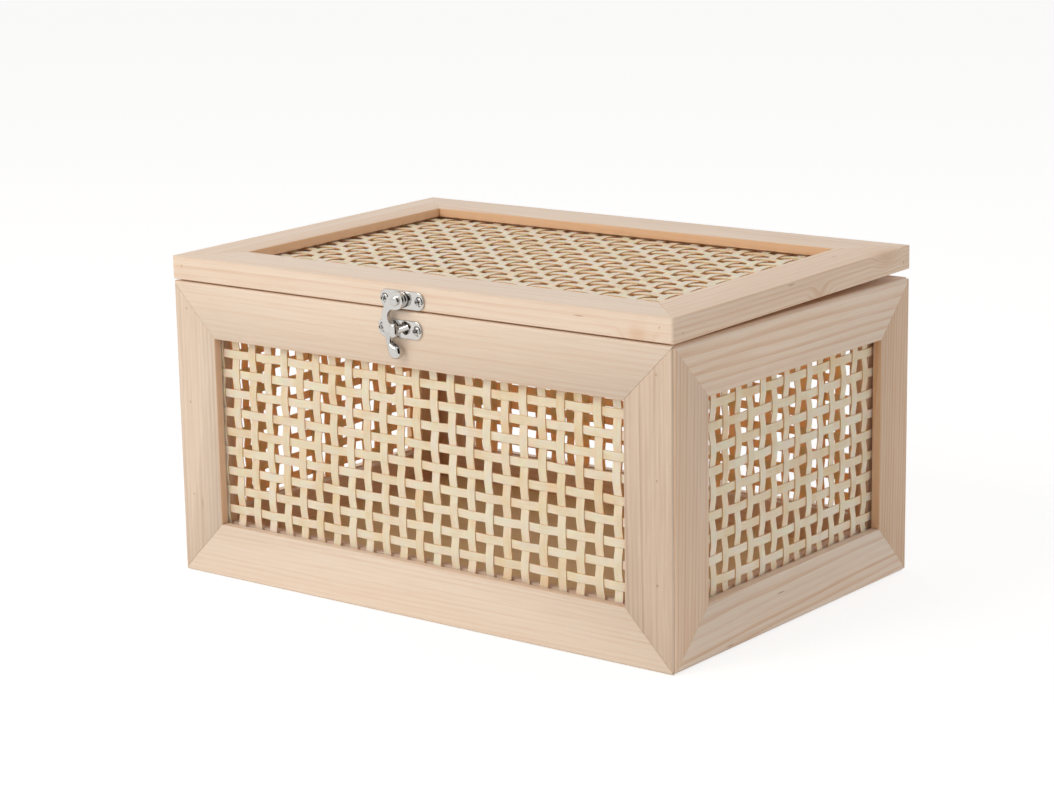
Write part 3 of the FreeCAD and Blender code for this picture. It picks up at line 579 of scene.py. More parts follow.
class Solids:
    """Closed shapes made of rings of points, gathered into one mesh."""

    def __init__(self) -> None:
        """Start with no shape."""
        self.points: list[Vector] = []
        self.faces: list[tuple[int, ...]] = []

    def add(self, points: Sequence[Vector], faces: Iterable[Sequence[int]]) -> None:
        """Take in a closed shape, given by its points and faces."""
        base = len(self.points)
        self.points += points
        self.faces += [tuple(base + k for k in face) for face in faces]

    def skin(self, rings: Sequence[Sequence[Vector]]) -> None:
        """Skin a row of rings of equal count, and close both ends."""
        count = len(rings[0])
        faces = [(r * count + k, r * count + (k + 1) % count,
                  (r + 1) * count + (k + 1) % count, (r + 1) * count + k)
                 for r in range(len(rings) - 1) for k in range(count)]
        faces.append(tuple(range(count)))
        faces.append(tuple((len(rings) - 1) * count + k for k in range(count)))
        self.add([point for ring in rings for point in ring], faces)

    def turn(self, profile: Sequence[tuple[float, float]], foot: Vector, axis: Vector,
             steps: int = 40) -> None:
        """Turn a profile about an axis.

        Args:
            profile: Radius and height pairs, along the axis from the foot.
            foot: Point on the axis.
            axis: Direction of the axis.
            steps: Points round each ring.
        """
        side = axis.orthogonal().normalized()
        other = axis.cross(side)
        spokes = [side * math.cos(math.tau * k / steps) + other * math.sin(math.tau * k / steps)
                  for k in range(steps)]
        self.skin([[foot + axis * height + spoke * radius for spoke in spokes]
                   for radius, height in profile])

    def slab(self, half: tuple[float, float], corner: float, levels: tuple[float, float],
             eases: tuple[float, float], centre: Vector, steps: int = 8) -> None:
        """Stack a round-cornered slab on the X-Y plane, with eased edges.

        Args:
            half: Half of its length and of its width.
            corner: Radius of its corners.
            levels: Heights of its back and its front.
            eases: Rounding radius of its back edge and of its front edge.
            centre: Its middle.
            steps: Steps of each quarter turn.
        """
        rings = []
        (back, front), (back_ease, front_ease) = levels, eases
        quarter = [math.pi / 2 * k / steps for k in range(steps + 1)]
        rounds = [(back_ease * (1 - math.sin(a)), back + back_ease * (1 - math.cos(a)))
                  for a in quarter]
        rounds += [(front_ease * (1 - math.cos(a)), front - front_ease * (1 - math.sin(a)))
                   for a in quarter]
        for inset, height in rounds:
            ring = []
            radius = corner - inset
            for turn, (across, along) in enumerate(((1, 1), (-1, 1), (-1, -1), (1, -1))):
                middle = centre + Vector((
                    across * (half[0] - corner), along * (half[1] - corner), height))
                for a in quarter:
                    angle = a + math.pi / 2 * turn
                    ring.append(middle + Vector((math.cos(angle), math.sin(angle), 0)) * radius)
            rings.append(ring)
        self.skin(rings)

    def mesh(self, name: str, smooth_deg: float = SMOOTH_DEG,
             place: Matrix = Matrix()) -> bpy.types.Mesh:
        """Make the mesh.

        Args:
            name: The mesh's name.
            smooth_deg: Angle above which an edge stays sharp.
            place: Where the shapes' own axes stand.

        Returns:
            The mesh.
        """
        mesh = bpy.data.meshes.new(name)
        mesh.from_pydata([tuple(place @ point) for point in self.points], [], self.faces)
        settle(mesh, smooth_deg)
        return mesh


def run_tree(tree: bpy.types.NodeTree, name: str, values: dict,
             seats: Sequence[Vector] = ()) -> bpy.types.Mesh:
    """Evaluate a node group once, as a plain mesh.

    Args:
        tree: The node group.
        name: Name of the mesh.
        values: Input name to value.
        seats: Points that the node group works on.

    Returns:
        The mesh.
    """
    base = bpy.data.meshes.new(name + "_seats")
    base.from_pydata([tuple(seat) for seat in seats], [], [])
    holder = bpy.data.objects.new(name + "_maker", base)
    bpy.context.scene.collection.objects.link(holder)
    modifier = holder.modifiers.new("maker", "NODES")
    modifier.node_group = tree
    for socket in tree.interface.items_tree:
        if socket.in_out == "INPUT" and socket.name in values:
            modifier[socket.identifier] = values[socket.name]
    bpy.context.view_layer.update()
    graph = bpy.context.evaluated_depsgraph_get()
    mesh = bpy.data.meshes.new_from_object(holder.evaluated_get(graph))
    mesh.name = name
    bpy.data.objects.remove(holder)
    return mesh


def start_tree(name: str, inputs: dict[str, tuple[str, object]]) -> bpy.types.NodeTree:
    """Start a geometry node group with named inputs and one mesh output.

    Args:
        name: The group's name.
        inputs: Input name to its socket type and its first value.

    Returns:
        The group.
    """
    tree = bpy.data.node_groups.new(name, "GeometryNodeTree")
    tree.interface.new_socket("Seats", in_out="INPUT", socket_type="NodeSocketGeometry")
    for label, (kind, value) in inputs.items():
        socket = tree.interface.new_socket(label, in_out="INPUT", socket_type=kind)
        if value is not None:
            socket.default_value = value
    tree.interface.new_socket("Mesh", in_out="OUTPUT", socket_type="NodeSocketGeometry")
    return tree


def end_tree(tree: bpy.types.NodeTree, mesh: Socket, finish: Socket) -> None:
    """Make a node group's instances real, and give them their finish.

    Args:
        tree: The group.
        mesh: Socket of its last geometry.
        finish: Socket of the material.
    """
    real = add(tree, "GeometryNodeRealizeInstances", {"Geometry": mesh}).outputs[0]
    dressed = add(tree, "GeometryNodeSetMaterial", {"Geometry": real, "Material": finish})
    add(tree, "NodeGroupOutput", {0: dressed.outputs[0]})


# Brads: where their heads are sunk under the surface
@dataclass(frozen=True)
class Brads:
    """The brads' places, as the holes that their sunk heads leave in the wood."""

    radius: float = 0.63 * MM
    sink: float = 0.3 * MM
    inset: float = 9.0 * MM
    first_drop: float = 13.4 * MM
    pitch: float = 47.3 * MM
    count: int = 3
    lid_inset: float = 7.0 * MM
    lid_end_drop: float = 4.6 * MM
    lid_side_drop: float = 7.5 * MM
    steps: int = 12

    def mouths(self) -> dict[str, list[Vector]]:
        """The middles of the holes' mouths.

        Returns:
            Name of the member to points on its surface, on the level lid where it is the lid's.
        """
        places: dict[str, list[Vector]] = {}
        for side, across in (("left", -1), ("right", 1)):
            for end, away in (("front", -1), ("back", 1)):
                places["%s_%s_stile" % (end, side)] = [
                    Vector((across * (HALF_WIDTH - self.inset), away * HALF_DEPTH,
                            HEIGHT - self.first_drop - self.pitch * k)) for k in range(self.count)]
                places.setdefault("lid_%s_rail" % end, []).append(Vector((
                    across * (HALF_WIDTH - self.lid_inset), away * HALF_DEPTH,
                    LID_TOP - self.lid_end_drop)))
                places.setdefault("lid_%s_rail" % side, []).append(Vector((
                    across * HALF_WIDTH, away * (HALF_DEPTH - self.lid_inset),
                    LID_TOP - self.lid_side_drop)))
        return places

    def tool(self, points: Sequence[Vector], outward: Vector) -> bpy.types.Mesh:
        """The cylinders that cut the mouths, for points on one surface."""
        solids = Solids()
        for point in points:
            solids.turn([(self.radius, -self.sink), (self.radius, self.sink)], point, outward,
                        self.steps)
        return solids.mesh("brad_mouths")


# Frames of wood
@dataclass
class Member:
    """One mitred stick of a frame, on its own bench axes.

    X runs along its outer edge, Y from that edge to the opening, Z from its face inwards.
    """

    name: str
    start: Vector
    along: Vector
    across: Vector
    inward: Vector
    length: float
    is_stile: bool
    is_wall: bool
    width: float = 27.0 * MM
    stock: float = 11.5 * MM
    ease: float = 1.6 * MM
    seam_radius: float = 0.28 * MM
    edge_radius: float = 0.55 * MM
    rim_radius: float = 1.3 * MM
    groove_width: float = 2.7 * MM
    groove_depth: float = 5.0 * MM
    joint_depth: float = 0.08 * MM
    joint_run: float = 0.1 * MM
    lid_corner: float = 1.7 * MM
    edge_steps: int = 3
    smooth_deg: float = 50.0
    # Where the tree's middle lay, in millimetres: behind and beside a flat-sawn stick, and behind
    # and beside a rift-sawn one
    flat_heart_mm: tuple[tuple[float, float], tuple[float, float]] = ((36, 48), (16, 30))
    rift_heart_mm: tuple[tuple[float, float], tuple[float, float]] = ((20, 45), (60, 90))

    def section(self) -> list[tuple[float, float]]:
        """The outline across the stick: Y and Z pairs, with its long edges rounded.

        Returns:
            The outline's points in order.
        """
        near, far = 0.0, self.stock
        groove_low = (self.stock - self.groove_width) / 2
        groove_high = groove_low + self.groove_width
        floor = self.width - self.groove_depth
        soft = self.edge_radius
        corners = [
            (self.width, near, soft), (self.width, groove_low, 0.0), (floor, groove_low, 0.0),
            (floor, groove_high, 0.0), (self.width, groove_high, 0.0), (self.width, far, soft),
        ]
        if self.is_wall and self.is_stile:
            half = self.ease / 2
            corners += [(far, far, 0.0), (half, half, self.seam_radius), (self.ease, near, soft)]
        elif self.is_wall:
            corners += [(far, far, 0.0), (near, far, soft), (near, near, self.rim_radius)]
        else:
            corners += [(near, far, soft), (near, near, soft)]
        outline = []
        count = len(corners)
        for k, (y, z, radius) in enumerate(corners):
            here = Vector((y, z))
            if not radius:
                outline.append((y, z))
                continue
            before = (Vector(corners[k - 1][:2]) - here).normalized()
            after = (Vector(corners[(k + 1) % count][:2]) - here).normalized()
            bend = before.angle(after)
            reach = radius / math.tan(bend / 2)
            first, last = here + before * reach, here + after * reach
            middle = here + (before + after).normalized() * (radius / math.sin(bend / 2))
            for step in range(self.edge_steps + 1):
                share = step / self.edge_steps
                spoke = (first - middle).lerp(last - middle, share).normalized()
                outline.append(tuple(middle + spoke * radius))
        return outline

    def mitre(self, y: float, z: float) -> float:
        """How far the stick's end is cut back at a point of its section.

        Args:
            y: Place across the face.
            z: Depth from the face.

        Returns:
            The distance from the outer corner along the stick.
        """
        if not self.is_wall or self.is_stile:
            return y
        half = self.ease / 2
        corner = self.ease - z if z < half else z
        return max(y, corner)

    def mesh(self, brads: Sequence[Vector]) -> bpy.types.Mesh:
        """Build the stick in its place in the box.

        Args:
            brads: Middles of the brad holes in it.

        Returns:
            The mesh.
        """
        outline = self.section()
        middle = Vector((self.width / 2, self.stock / 2))
        rings: list[list[Vector]] = []
        # The lid's corners are sanded round; a ring each is at the joint, past it, and round the arc
        radius = 0.0 if self.is_wall else self.lid_corner
        stations = [(0.0, self.joint_depth, math.pi / 4), (self.joint_run, 0.0, math.pi / 4)]
        stations += [(0.0, 0.0, math.pi / 4 * (1 - k / self.edge_steps))
                     for k in range(1, self.edge_steps + 1) if radius]
        for past, sunk, turned in stations:
            at = past + radius * (math.cos(turned) - math.sin(turned))
            least = radius * (1 - math.cos(turned))
            ring = []
            for y, z in outline:
                inset_y = max(y, least) + math.copysign(min(sunk, abs(middle.x - y)), middle.x - y)
                inset_z = z + math.copysign(min(sunk, abs(middle.y - z)), middle.y - z)
                ring.append(Vector((max(self.mitre(y, z), least) + at, inset_y, inset_z)))
            rings.append(ring)
        rings += [[Vector((self.length - p.x, p.y, p.z)) for p in ring] for ring in reversed(rings)]
        solids = Solids()
        solids.skin(rings)
        turn = Matrix((self.along, self.across, self.inward)).transposed().to_4x4()
        mesh = solids.mesh(self.name, self.smooth_deg, Matrix.Translation(self.start) @ turn)
        if brads:
            outward = -self.inward if self.is_wall else -self.across
            mesh = cut_away(mesh, Brads().tool(brads, outward), self.smooth_deg)
        return mesh

    def heart(self, cut: Cut, draw: random.Random) -> Vector:
        """A point on the middle of the tree that the stick was sawn from.

        Args:
            cut: How it was sawn.
            draw: Source of the piece's own figure.

        Returns:
            The point.
        """
        centre = self.start + self.along * self.length / 2 + self.across * self.width / 2
        if cut is Cut.FLAT:
            behind, beside = self.flat_heart_mm
            return centre + self.inward * (draw.uniform(*behind) * MM) + self.across * (
                draw.choice((-1, 1)) * draw.uniform(*beside) * MM)
        behind, beside = self.rift_heart_mm
        return centre + self.across * (draw.choice((-1, 1)) * draw.uniform(*beside) * MM) + (
            self.inward * draw.uniform(*behind) * MM)


# Late wood of the two front stiles, which is greyer than that of the rest
GREY_LATE = "#C6AA92"
# The sticks whose figure is plain to see; the others are as Figure has it. The stiles' higher tone is
# painted shade: under this light, upright grain looks darker than the rails' level grain.
FIGURES = {
    "front_top_rail": Figure(tone=-0.06, contrast=0.16),
    "front_bottom_rail": Figure(tone=-0.02, contrast=0.22),
    "front_left_stile": Figure(tone=0.16, contrast=0.28, late=GREY_LATE),
    "front_right_stile": Figure(tone=0.42, contrast=0.34, late=GREY_LATE),
    "right_front_stile": Figure(tone=0.36, contrast=0.38),
    "right_rear_stile": Figure(tone=0.42, contrast=0.45),
    "right_top_rail": Figure(Cut.FLAT, 0.03, 0.5),
    "right_bottom_rail": Figure(Cut.FLAT, 0.04, 0.6),
    "back_bottom_rail": Figure(Cut.FLAT, 0.06, 0.5),
    "left_top_rail": Figure(Cut.FLAT, 0.06, 0.5),
    "lid_front_rail": Figure(Cut.FLAT, -0.03, 0.25, (Vector((0.131, -0.098, 0.148)),)),
    "lid_right_rail": Figure(Cut.FLAT, 0.14, 0.35, (Vector((0.147, 0.018, 0.150)),
                                                    Vector((0.149, 0.078, 0.162)))),
    "lid_back_rail": Figure(Cut.FLAT, 0.06, 0.35),
}
# Share of the painted warm shade on the inner faces and on the sides of the openings
SHADE_INSIDE, SHADE_REVEAL, SHADE_LID_REVEAL = 0.5, 0.42, 0.6
# The front edge is sanded least, because the lid rests on it; the lid's own joints are more open
SIDE_RIM_RADIUS = 3.0 * MM
LID_JOINT = (0.11 * MM, 0.13 * MM)


@dataclass
class FramePanel:
    """Four mitred members round an opening."""

    name: str
    centre: Vector
    right: Vector
    up: Vector
    span: float
    rise: float
    members: tuple[str, str, str, str]
    body: str
    seed: int
    member_width: float = 27.0 * MM
    stock: float = 11.5 * MM

    @property
    def inward(self) -> Vector:
        """Direction from the face into the box."""
        return self.up.cross(self.right)

    def point(self, across: float, along: float, depth: float = 0.0) -> Vector:
        """A point by its place in the frame: right, up and inwards, in metres."""
        return self.centre + self.right * across + self.up * along + self.inward * depth

    def build(self, mouths: dict[str, list[Vector]]) -> None:
        """Build and dress the members: the low one, the high one, the left one and the right one.

        Args:
            mouths: Name of a member to the middles of its brad holes.
        """
        half_span, half_rise = self.span / 2, self.rise / 2
        lays = (
            (self.point(half_span, -half_rise), -self.right, self.up, self.span, False),
            (self.point(-half_span, half_rise), self.right, -self.up, self.span, False),
            (self.point(-half_span, -half_rise), self.up, self.right, self.rise, True),
            (self.point(half_span, half_rise), -self.up, -self.right, self.rise, True),
        )
        draw = random.Random(self.seed)
        for name, (start, along, across, length, is_stile) in zip(self.members, lays):
            stick = Member(name, start, along, across, self.inward, length, is_stile,
                           self.body == "box")
            if self.right.x < 0.5:
                stick.rim_radius = SIDE_RIM_RADIUS
            if self.body == "lid":
                stick.joint_depth, stick.joint_run = LID_JOINT
            mesh = stick.mesh(mouths.get(name, ()))
            # An upward side takes less painted shade, so that it looks as lit as the face
            reveal_shade = SHADE_REVEAL * (1 - max(across.z, 0.0)) if self.body == "box" else SHADE_LID_REVEAL
            mark_faces(mesh, "painted_warm_shade", {SHADE_INSIDE: [self.inward], reveal_shade: [across]})
            figure = FIGURES.get(name, Figure())
            finish = PINE.material(name, along, stick.heart(figure.cut, draw), draw, figure)
            if self.body == "lid":
                lean_lid(mesh)
            as_piece("pine_" + name, mesh, finish, self.body, [name])


# Cane weave as Geometry Nodes
WEAVE_INPUTS = {
    "Strips": ("NodeSocketInt", 24), "First": ("NodeSocketFloat", 0.0),
    "Pitch": ("NodeSocketFloat", 0.01), "Half Length": ("NodeSocketFloat", 0.1),
    "Samples": ("NodeSocketInt", 90), "Width": ("NodeSocketFloat", 0.0046),
    "Thickness": ("NodeSocketFloat", 0.001), "Swing": ("NodeSocketFloat", 0.00075),
    "Cross First": ("NodeSocketFloat", 0.0), "Cross Pitch": ("NodeSocketFloat", 0.01),
    "Phase": ("NodeSocketFloat", 0.0), "Wander": ("NodeSocketFloat", 0.0005),
    "Wander Length": ("NodeSocketFloat", 0.03), "Corner": ("NodeSocketFloat", 0.0001),
    "Seed": ("NodeSocketFloat", 1.0), "Finish": ("NodeSocketMaterial", None),
}


# How far apart two strips lie in the noise that they wander by, and what that noise, which swings
# by about a quarter, is multiplied by
STRIP_STRIDE, WANDER_SWING = 7.31, 4.0
# The section's outline is this many times its width
OUTLINE_TO_WIDTH = 2.4


def weave_tree() -> bpy.types.NodeTree:
    """Build the node group that lays one set of parallel woven strips.

    The strips run along X, side by side along Y, and rise and fall along Z as they pass over
    and under the strips that cross them.

    Returns:
        The node group, whose inputs are those of WEAVE_INPUTS.
    """
    tree = start_tree("woven_strips", WEAVE_INPUTS)
    given = add(tree, "NodeGroupInput").outputs

    def named(geometry: Socket, label: str, value: Socket, domain: str = "POINT",
              kind: str = "FLOAT") -> Socket:
        """Store an attribute on the geometry."""
        return add(tree, "GeometryNodeStoreNamedAttribute", {
            "Geometry": geometry, "Name": label, "Value": value},
            data_type=kind, domain=domain).outputs[0]

    def read(label: str) -> Socket:
        """Read a stored attribute."""
        return add(tree, "GeometryNodeInputNamedAttribute", {"Name": label},
                   data_type="FLOAT").outputs[0]

    # One straight spine for each strip
    back = reckon(tree, "MULTIPLY", given["Half Length"], -1.0)
    start = add(tree, "ShaderNodeCombineXYZ", {"X": back}).outputs[0]
    end = add(tree, "ShaderNodeCombineXYZ", {"X": given["Half Length"]}).outputs[0]
    spine = add(tree, "GeometryNodeCurvePrimitiveLine", {"Start": start, "End": end}).outputs[0]
    spine = add(tree, "GeometryNodeResampleCurve", {"Curve": spine, "Count": given["Samples"]}
                ).outputs[0]
    first_place = add(tree, "ShaderNodeCombineXYZ", {"Y": given["First"]}).outputs[0]
    step = add(tree, "ShaderNodeCombineXYZ", {"Y": given["Pitch"]}).outputs[0]
    row = add(tree, "GeometryNodeMeshLine", {
        "Count": given["Strips"], "Start Location": first_place, "Offset": step}).outputs[0]
    numbered = named(row, "strip_number", add(tree, "GeometryNodeInputIndex").outputs[0])
    strips = add(tree, "GeometryNodeInstanceOnPoints", {"Points": numbered, "Instance": spine}
                 ).outputs[0]
    strips = add(tree, "GeometryNodeRealizeInstances", {"Geometry": strips}).outputs[0]

    # How far a point lifts, from its place along the strip and the strip's number
    which = read("strip_number")
    spot = add(tree, "GeometryNodeInputPosition").outputs[0]
    along = add(tree, "ShaderNodeSeparateXYZ", {0: spot}).outputs["X"]
    crossings = reckon(tree, "DIVIDE", reckon(tree, "SUBTRACT", along, given["Cross First"]),
                       given["Cross Pitch"])
    turns = reckon(tree, "ADD", reckon(tree, "ADD", crossings, which), given["Phase"])
    wave = reckon(tree, "COSINE", reckon(tree, "MULTIPLY", turns, math.pi))
    flat_wave = reckon(tree, "SINE", reckon(tree, "MULTIPLY", wave, math.pi / 2))
    lift = reckon(tree, "MULTIPLY", flat_wave, given["Swing"])

    # A slow sideways wander, different for each strip
    scatter = reckon(tree, "ADD", reckon(tree, "MULTIPLY", which, STRIP_STRIDE), given["Seed"])
    slow = reckon(tree, "DIVIDE", along, given["Wander Length"])
    slow_place = add(tree, "ShaderNodeCombineXYZ", {"X": slow, "Y": scatter}).outputs[0]
    noise = add(tree, "ShaderNodeTexNoise", {
        "Vector": slow_place, "Scale": 1.0, "Detail": 1.0}).outputs["Fac"]
    sideways = reckon(tree, "MULTIPLY", reckon(tree, "SUBTRACT", noise, 0.5),
                      reckon(tree, "MULTIPLY", given["Wander"], WANDER_SWING))
    shift = add(tree, "ShaderNodeCombineXYZ", {"Y": sideways, "Z": lift}).outputs[0]
    bent = add(tree, "GeometryNodeSetPosition", {"Geometry": strips, "Offset": shift}).outputs[0]
    bent = add(tree, "GeometryNodeSetCurveNormal", {"Curve": bent}).outputs[0]

    # The flat section, with its corners taken off
    section = add(tree, "GeometryNodeCurvePrimitiveQuadrilateral", {
        "Width": given["Width"], "Height": given["Thickness"]}).outputs[0]
    section = add(tree, "GeometryNodeFilletCurve", {
        "Curve": section, "Radius": given["Corner"], "Count": 1}, mode="POLY").outputs[0]
    across = add(tree, "GeometryNodeSplineParameter").outputs["Factor"]
    section = named(section, "round_section", across)
    length = add(tree, "GeometryNodeSplineParameter").outputs["Length"]
    bent = named(bent, "along_strip", length)
    mesh = add(tree, "GeometryNodeCurveToMesh", {
        "Curve": bent, "Profile Curve": section, "Fill Caps": True}).outputs[0]
    tone = add(tree, "ShaderNodeTexWhiteNoise", {"W": scatter}, noise_dimensions="1D"
               ).outputs["Value"]
    mesh = named(mesh, "strip_tone", tone)
    u = reckon(tree, "MULTIPLY", read("round_section"),
               reckon(tree, "MULTIPLY", given["Width"], OUTLINE_TO_WIDTH))
    lay = add(tree, "ShaderNodeCombineXYZ", {"X": u, "Y": read("along_strip")}).outputs[0]
    mesh = named(mesh, "strip", lay, "CORNER", "FLOAT2")
    end_tree(tree, mesh, given["Finish"])
    return tree


@dataclass
class StripSet:
    """One set of parallel strips of a panel, the first placed from the panel's middle."""

    count: int
    first_mm: float
    pitch_mm: float
    width_mm: float
    swing_mm: float
    wander_mm: float


@dataclass
class CanePanel:
    """The plain weave of one panel, uprights and cross strips."""

    panel: FramePanel
    uprights: StripSet
    bands: StripSet
    over_first: int
    seed: int
    embed: float = 4.0 * MM
    thickness: float = 0.58 * MM
    corner: float = 0.11 * MM
    sample: float = 1.15 * MM
    wander_length: float = 34.0 * MM
    smooth_deg: float = 32.0
    seed_step: int = 50

    def build(self, tree: bpy.types.NodeTree) -> None:
        """Weave the strips and dress them.

        Args:
            tree: The node group that lays a set of strips.
        """
        panel = self.panel
        half_rise = panel.rise / 2 - panel.member_width + self.embed
        half_span = panel.span / 2 - panel.member_width + self.embed
        finish = CANE.material(panel.name)
        outward = -panel.inward
        middle = panel.point(0.0, 0.0, panel.stock / 2)
        for kind, own, other, half_length, run, side, lay_sign in (
                ("uprights", self.uprights, self.bands, half_rise, -panel.up, panel.right, 0),
                ("bands", self.bands, self.uprights, half_span, panel.right, -panel.up, 1)):
            # Run and side both start where the first crossing is: at the left and at the top
            node = "%s_cane_%s" % (panel.name, kind)
            mesh = run_tree(tree, node, {
                "Strips": own.count, "First": own.first_mm * MM, "Pitch": own.pitch_mm * MM,
                "Half Length": half_length, "Samples": int(half_length * 2 / self.sample),
                "Width": own.width_mm * MM, "Thickness": self.thickness,
                "Swing": own.swing_mm * MM, "Cross First": other.first_mm * MM,
                "Cross Pitch": other.pitch_mm * MM,
                "Phase": float(self.over_first + lay_sign), "Wander": own.wander_mm * MM,
                "Wander Length": self.wander_length, "Corner": self.corner,
                "Seed": float(self.seed + self.seed_step * lay_sign), "Finish": finish})
            turn = Matrix((run, side, outward)).transposed().to_4x4()
            mesh.transform(Matrix.Translation(middle) @ turn)
            settle(mesh, self.smooth_deg)
            # Mark the pith side for painted bounce light and the cut edges for painted shade
            mark_faces(mesh, "pith_side_bounce", {1.0: [-outward]})
            mark_faces(mesh, "shaded_cut_edge", {1.0: [side, -side]})
            if panel.body == "lid":
                lean_lid(mesh)
            as_piece(node + "_woven", mesh, finish, panel.body, [node])


# Cross-slot screws as Geometry Nodes
SCREW_INPUTS = {
    "Head Radius mm": ("NodeSocketFloat", 2.0), "Dome mm": ("NodeSocketFloat", 0.5),
    "Slot Length mm": ("NodeSocketFloat", 2.0), "Slot Width mm": ("NodeSocketFloat", 0.5),
    "Slot Depth mm": ("NodeSocketFloat", 0.5), "Seed": ("NodeSocketInt", 1),
    "Finish": ("NodeSocketMaterial", None),
}


def screw_tree() -> bpy.types.NodeTree:
    """Build the node group that sets a cross-slot screw head on each seat, looking up Z.

    A head is cut in millimetres and set at its real size, because the cut fails on tiny shapes.

    Returns:
        The node group, whose inputs are those of SCREW_INPUTS.
    """
    tree = start_tree("cross_slot_screws", SCREW_INPUTS)
    given = add(tree, "NodeGroupInput").outputs
    ball = add(tree, "GeometryNodeMeshUVSphere", {"Segments": 32, "Rings": 16, "Radius": 1.0}
               ).outputs[0]
    size = add(tree, "ShaderNodeCombineXYZ", {
        "X": given["Head Radius mm"], "Y": given["Head Radius mm"], "Z": given["Dome mm"]
    }).outputs[0]
    head = add(tree, "GeometryNodeTransform", {"Geometry": ball, "Scale": size}).outputs[0]
    depth = reckon(tree, "MULTIPLY", given["Slot Depth mm"], 2.0)
    bar_size = add(tree, "ShaderNodeCombineXYZ", {
        "X": given["Slot Length mm"], "Y": given["Slot Width mm"], "Z": depth}).outputs[0]
    bar = add(tree, "GeometryNodeMeshCube", {"Size": bar_size}).outputs[0]
    top = add(tree, "ShaderNodeCombineXYZ", {"Z": given["Dome mm"]}).outputs[0]
    slotted = add(tree, "GeometryNodeMeshBoolean", {"Mesh 1": head}, operation="DIFFERENCE")
    for quarter in (0.0, math.pi / 2):
        turned = add(tree, "GeometryNodeTransform", {
            "Geometry": bar, "Translation": top, "Rotation": (0.0, 0.0, quarter)}).outputs[0]
        tree.links.new(turned, slotted.inputs["Mesh 2"])
    spin = add(tree, "FunctionNodeRandomValue", {2: 0.0, 3: math.pi / 2, 8: given["Seed"]},
               data_type="FLOAT").outputs[1]
    spin = add(tree, "FunctionNodeEulerToRotation", {
        0: add(tree, "ShaderNodeCombineXYZ", {"Z": spin}).outputs[0]}).outputs[0]
    heads = add(tree, "GeometryNodeInstanceOnPoints", {
        "Points": given["Seats"], "Instance": slotted.outputs["Mesh"], "Rotation": spin,
        "Scale": (MM, MM, MM)}).outputs[0]
    end_tree(tree, heads, given["Finish"])
    return tree


@dataclass(frozen=True)
class Screws:
    """A group of like screw heads; the seats are points on the plane that the heads lie in."""

    radius: float
    dome: float
    slot_length: float = 2.5 * MM
    slot_width: float = 0.75 * MM
    slot_depth: float = 0.82 * MM

    def build(self, tree: bpy.types.NodeTree, name: str, seats: Sequence[Vector], place: Matrix,
              finish: bpy.types.Material, seed: int) -> bpy.types.Mesh:
        """Make the heads.

        Args:
            tree: The screw node group.
            name: The node that they stand for.
            seats: The heads' middles, on local axes whose Z looks out of the surface.
            place: Where the local axes stand.
            finish: Their metal.
            seed: Number that sets how each is turned.

        Returns:
            The mesh.
        """
        mesh = run_tree(tree, name, {
            "Head Radius mm": self.radius / MM, "Dome mm": self.dome / MM,
            "Slot Length mm": self.slot_length / MM, "Slot Width mm": self.slot_width / MM,
            "Slot Depth mm": self.slot_depth / MM, "Seed": seed, "Finish": finish}, seats)
        mesh.transform(place)
        settle(mesh, SMOOTH_DEG)
        return mesh


# The hook's outline in millimetres, sideways and upwards from its pivot, clockwise
HOOK_OUTLINE = [
    (4.3, 0.0), (3.1, -3.0), (0.2, -4.3), (-2.8, -4.4), (-4.5, -5.8), (-5.2, -7.9),
    (-4.7, -9.7), (-3.6, -11.1), (-2.4, -12.2), (-2.0, -13.6), (-2.6, -15.4), (-2.9, -17.2),
    (-2.9, -18.8), (-2.1, -20.3), (-0.2, -20.9), (1.6, -22.2), (2.3, -24.3), (1.6, -26.5),
    (-0.6, -27.7), (-3.0, -27.2), (-4.6, -25.2), (-5.5, -21.8), (-6.4, -17.8), (-7.6, -13.9),
    (-8.5, -10.2), (-8.3, -6.6), (-7.2, -3.4), (-5.4, -0.2), (-3.1, 3.0), (0.0, 4.3),
    (3.1, 3.0),
]


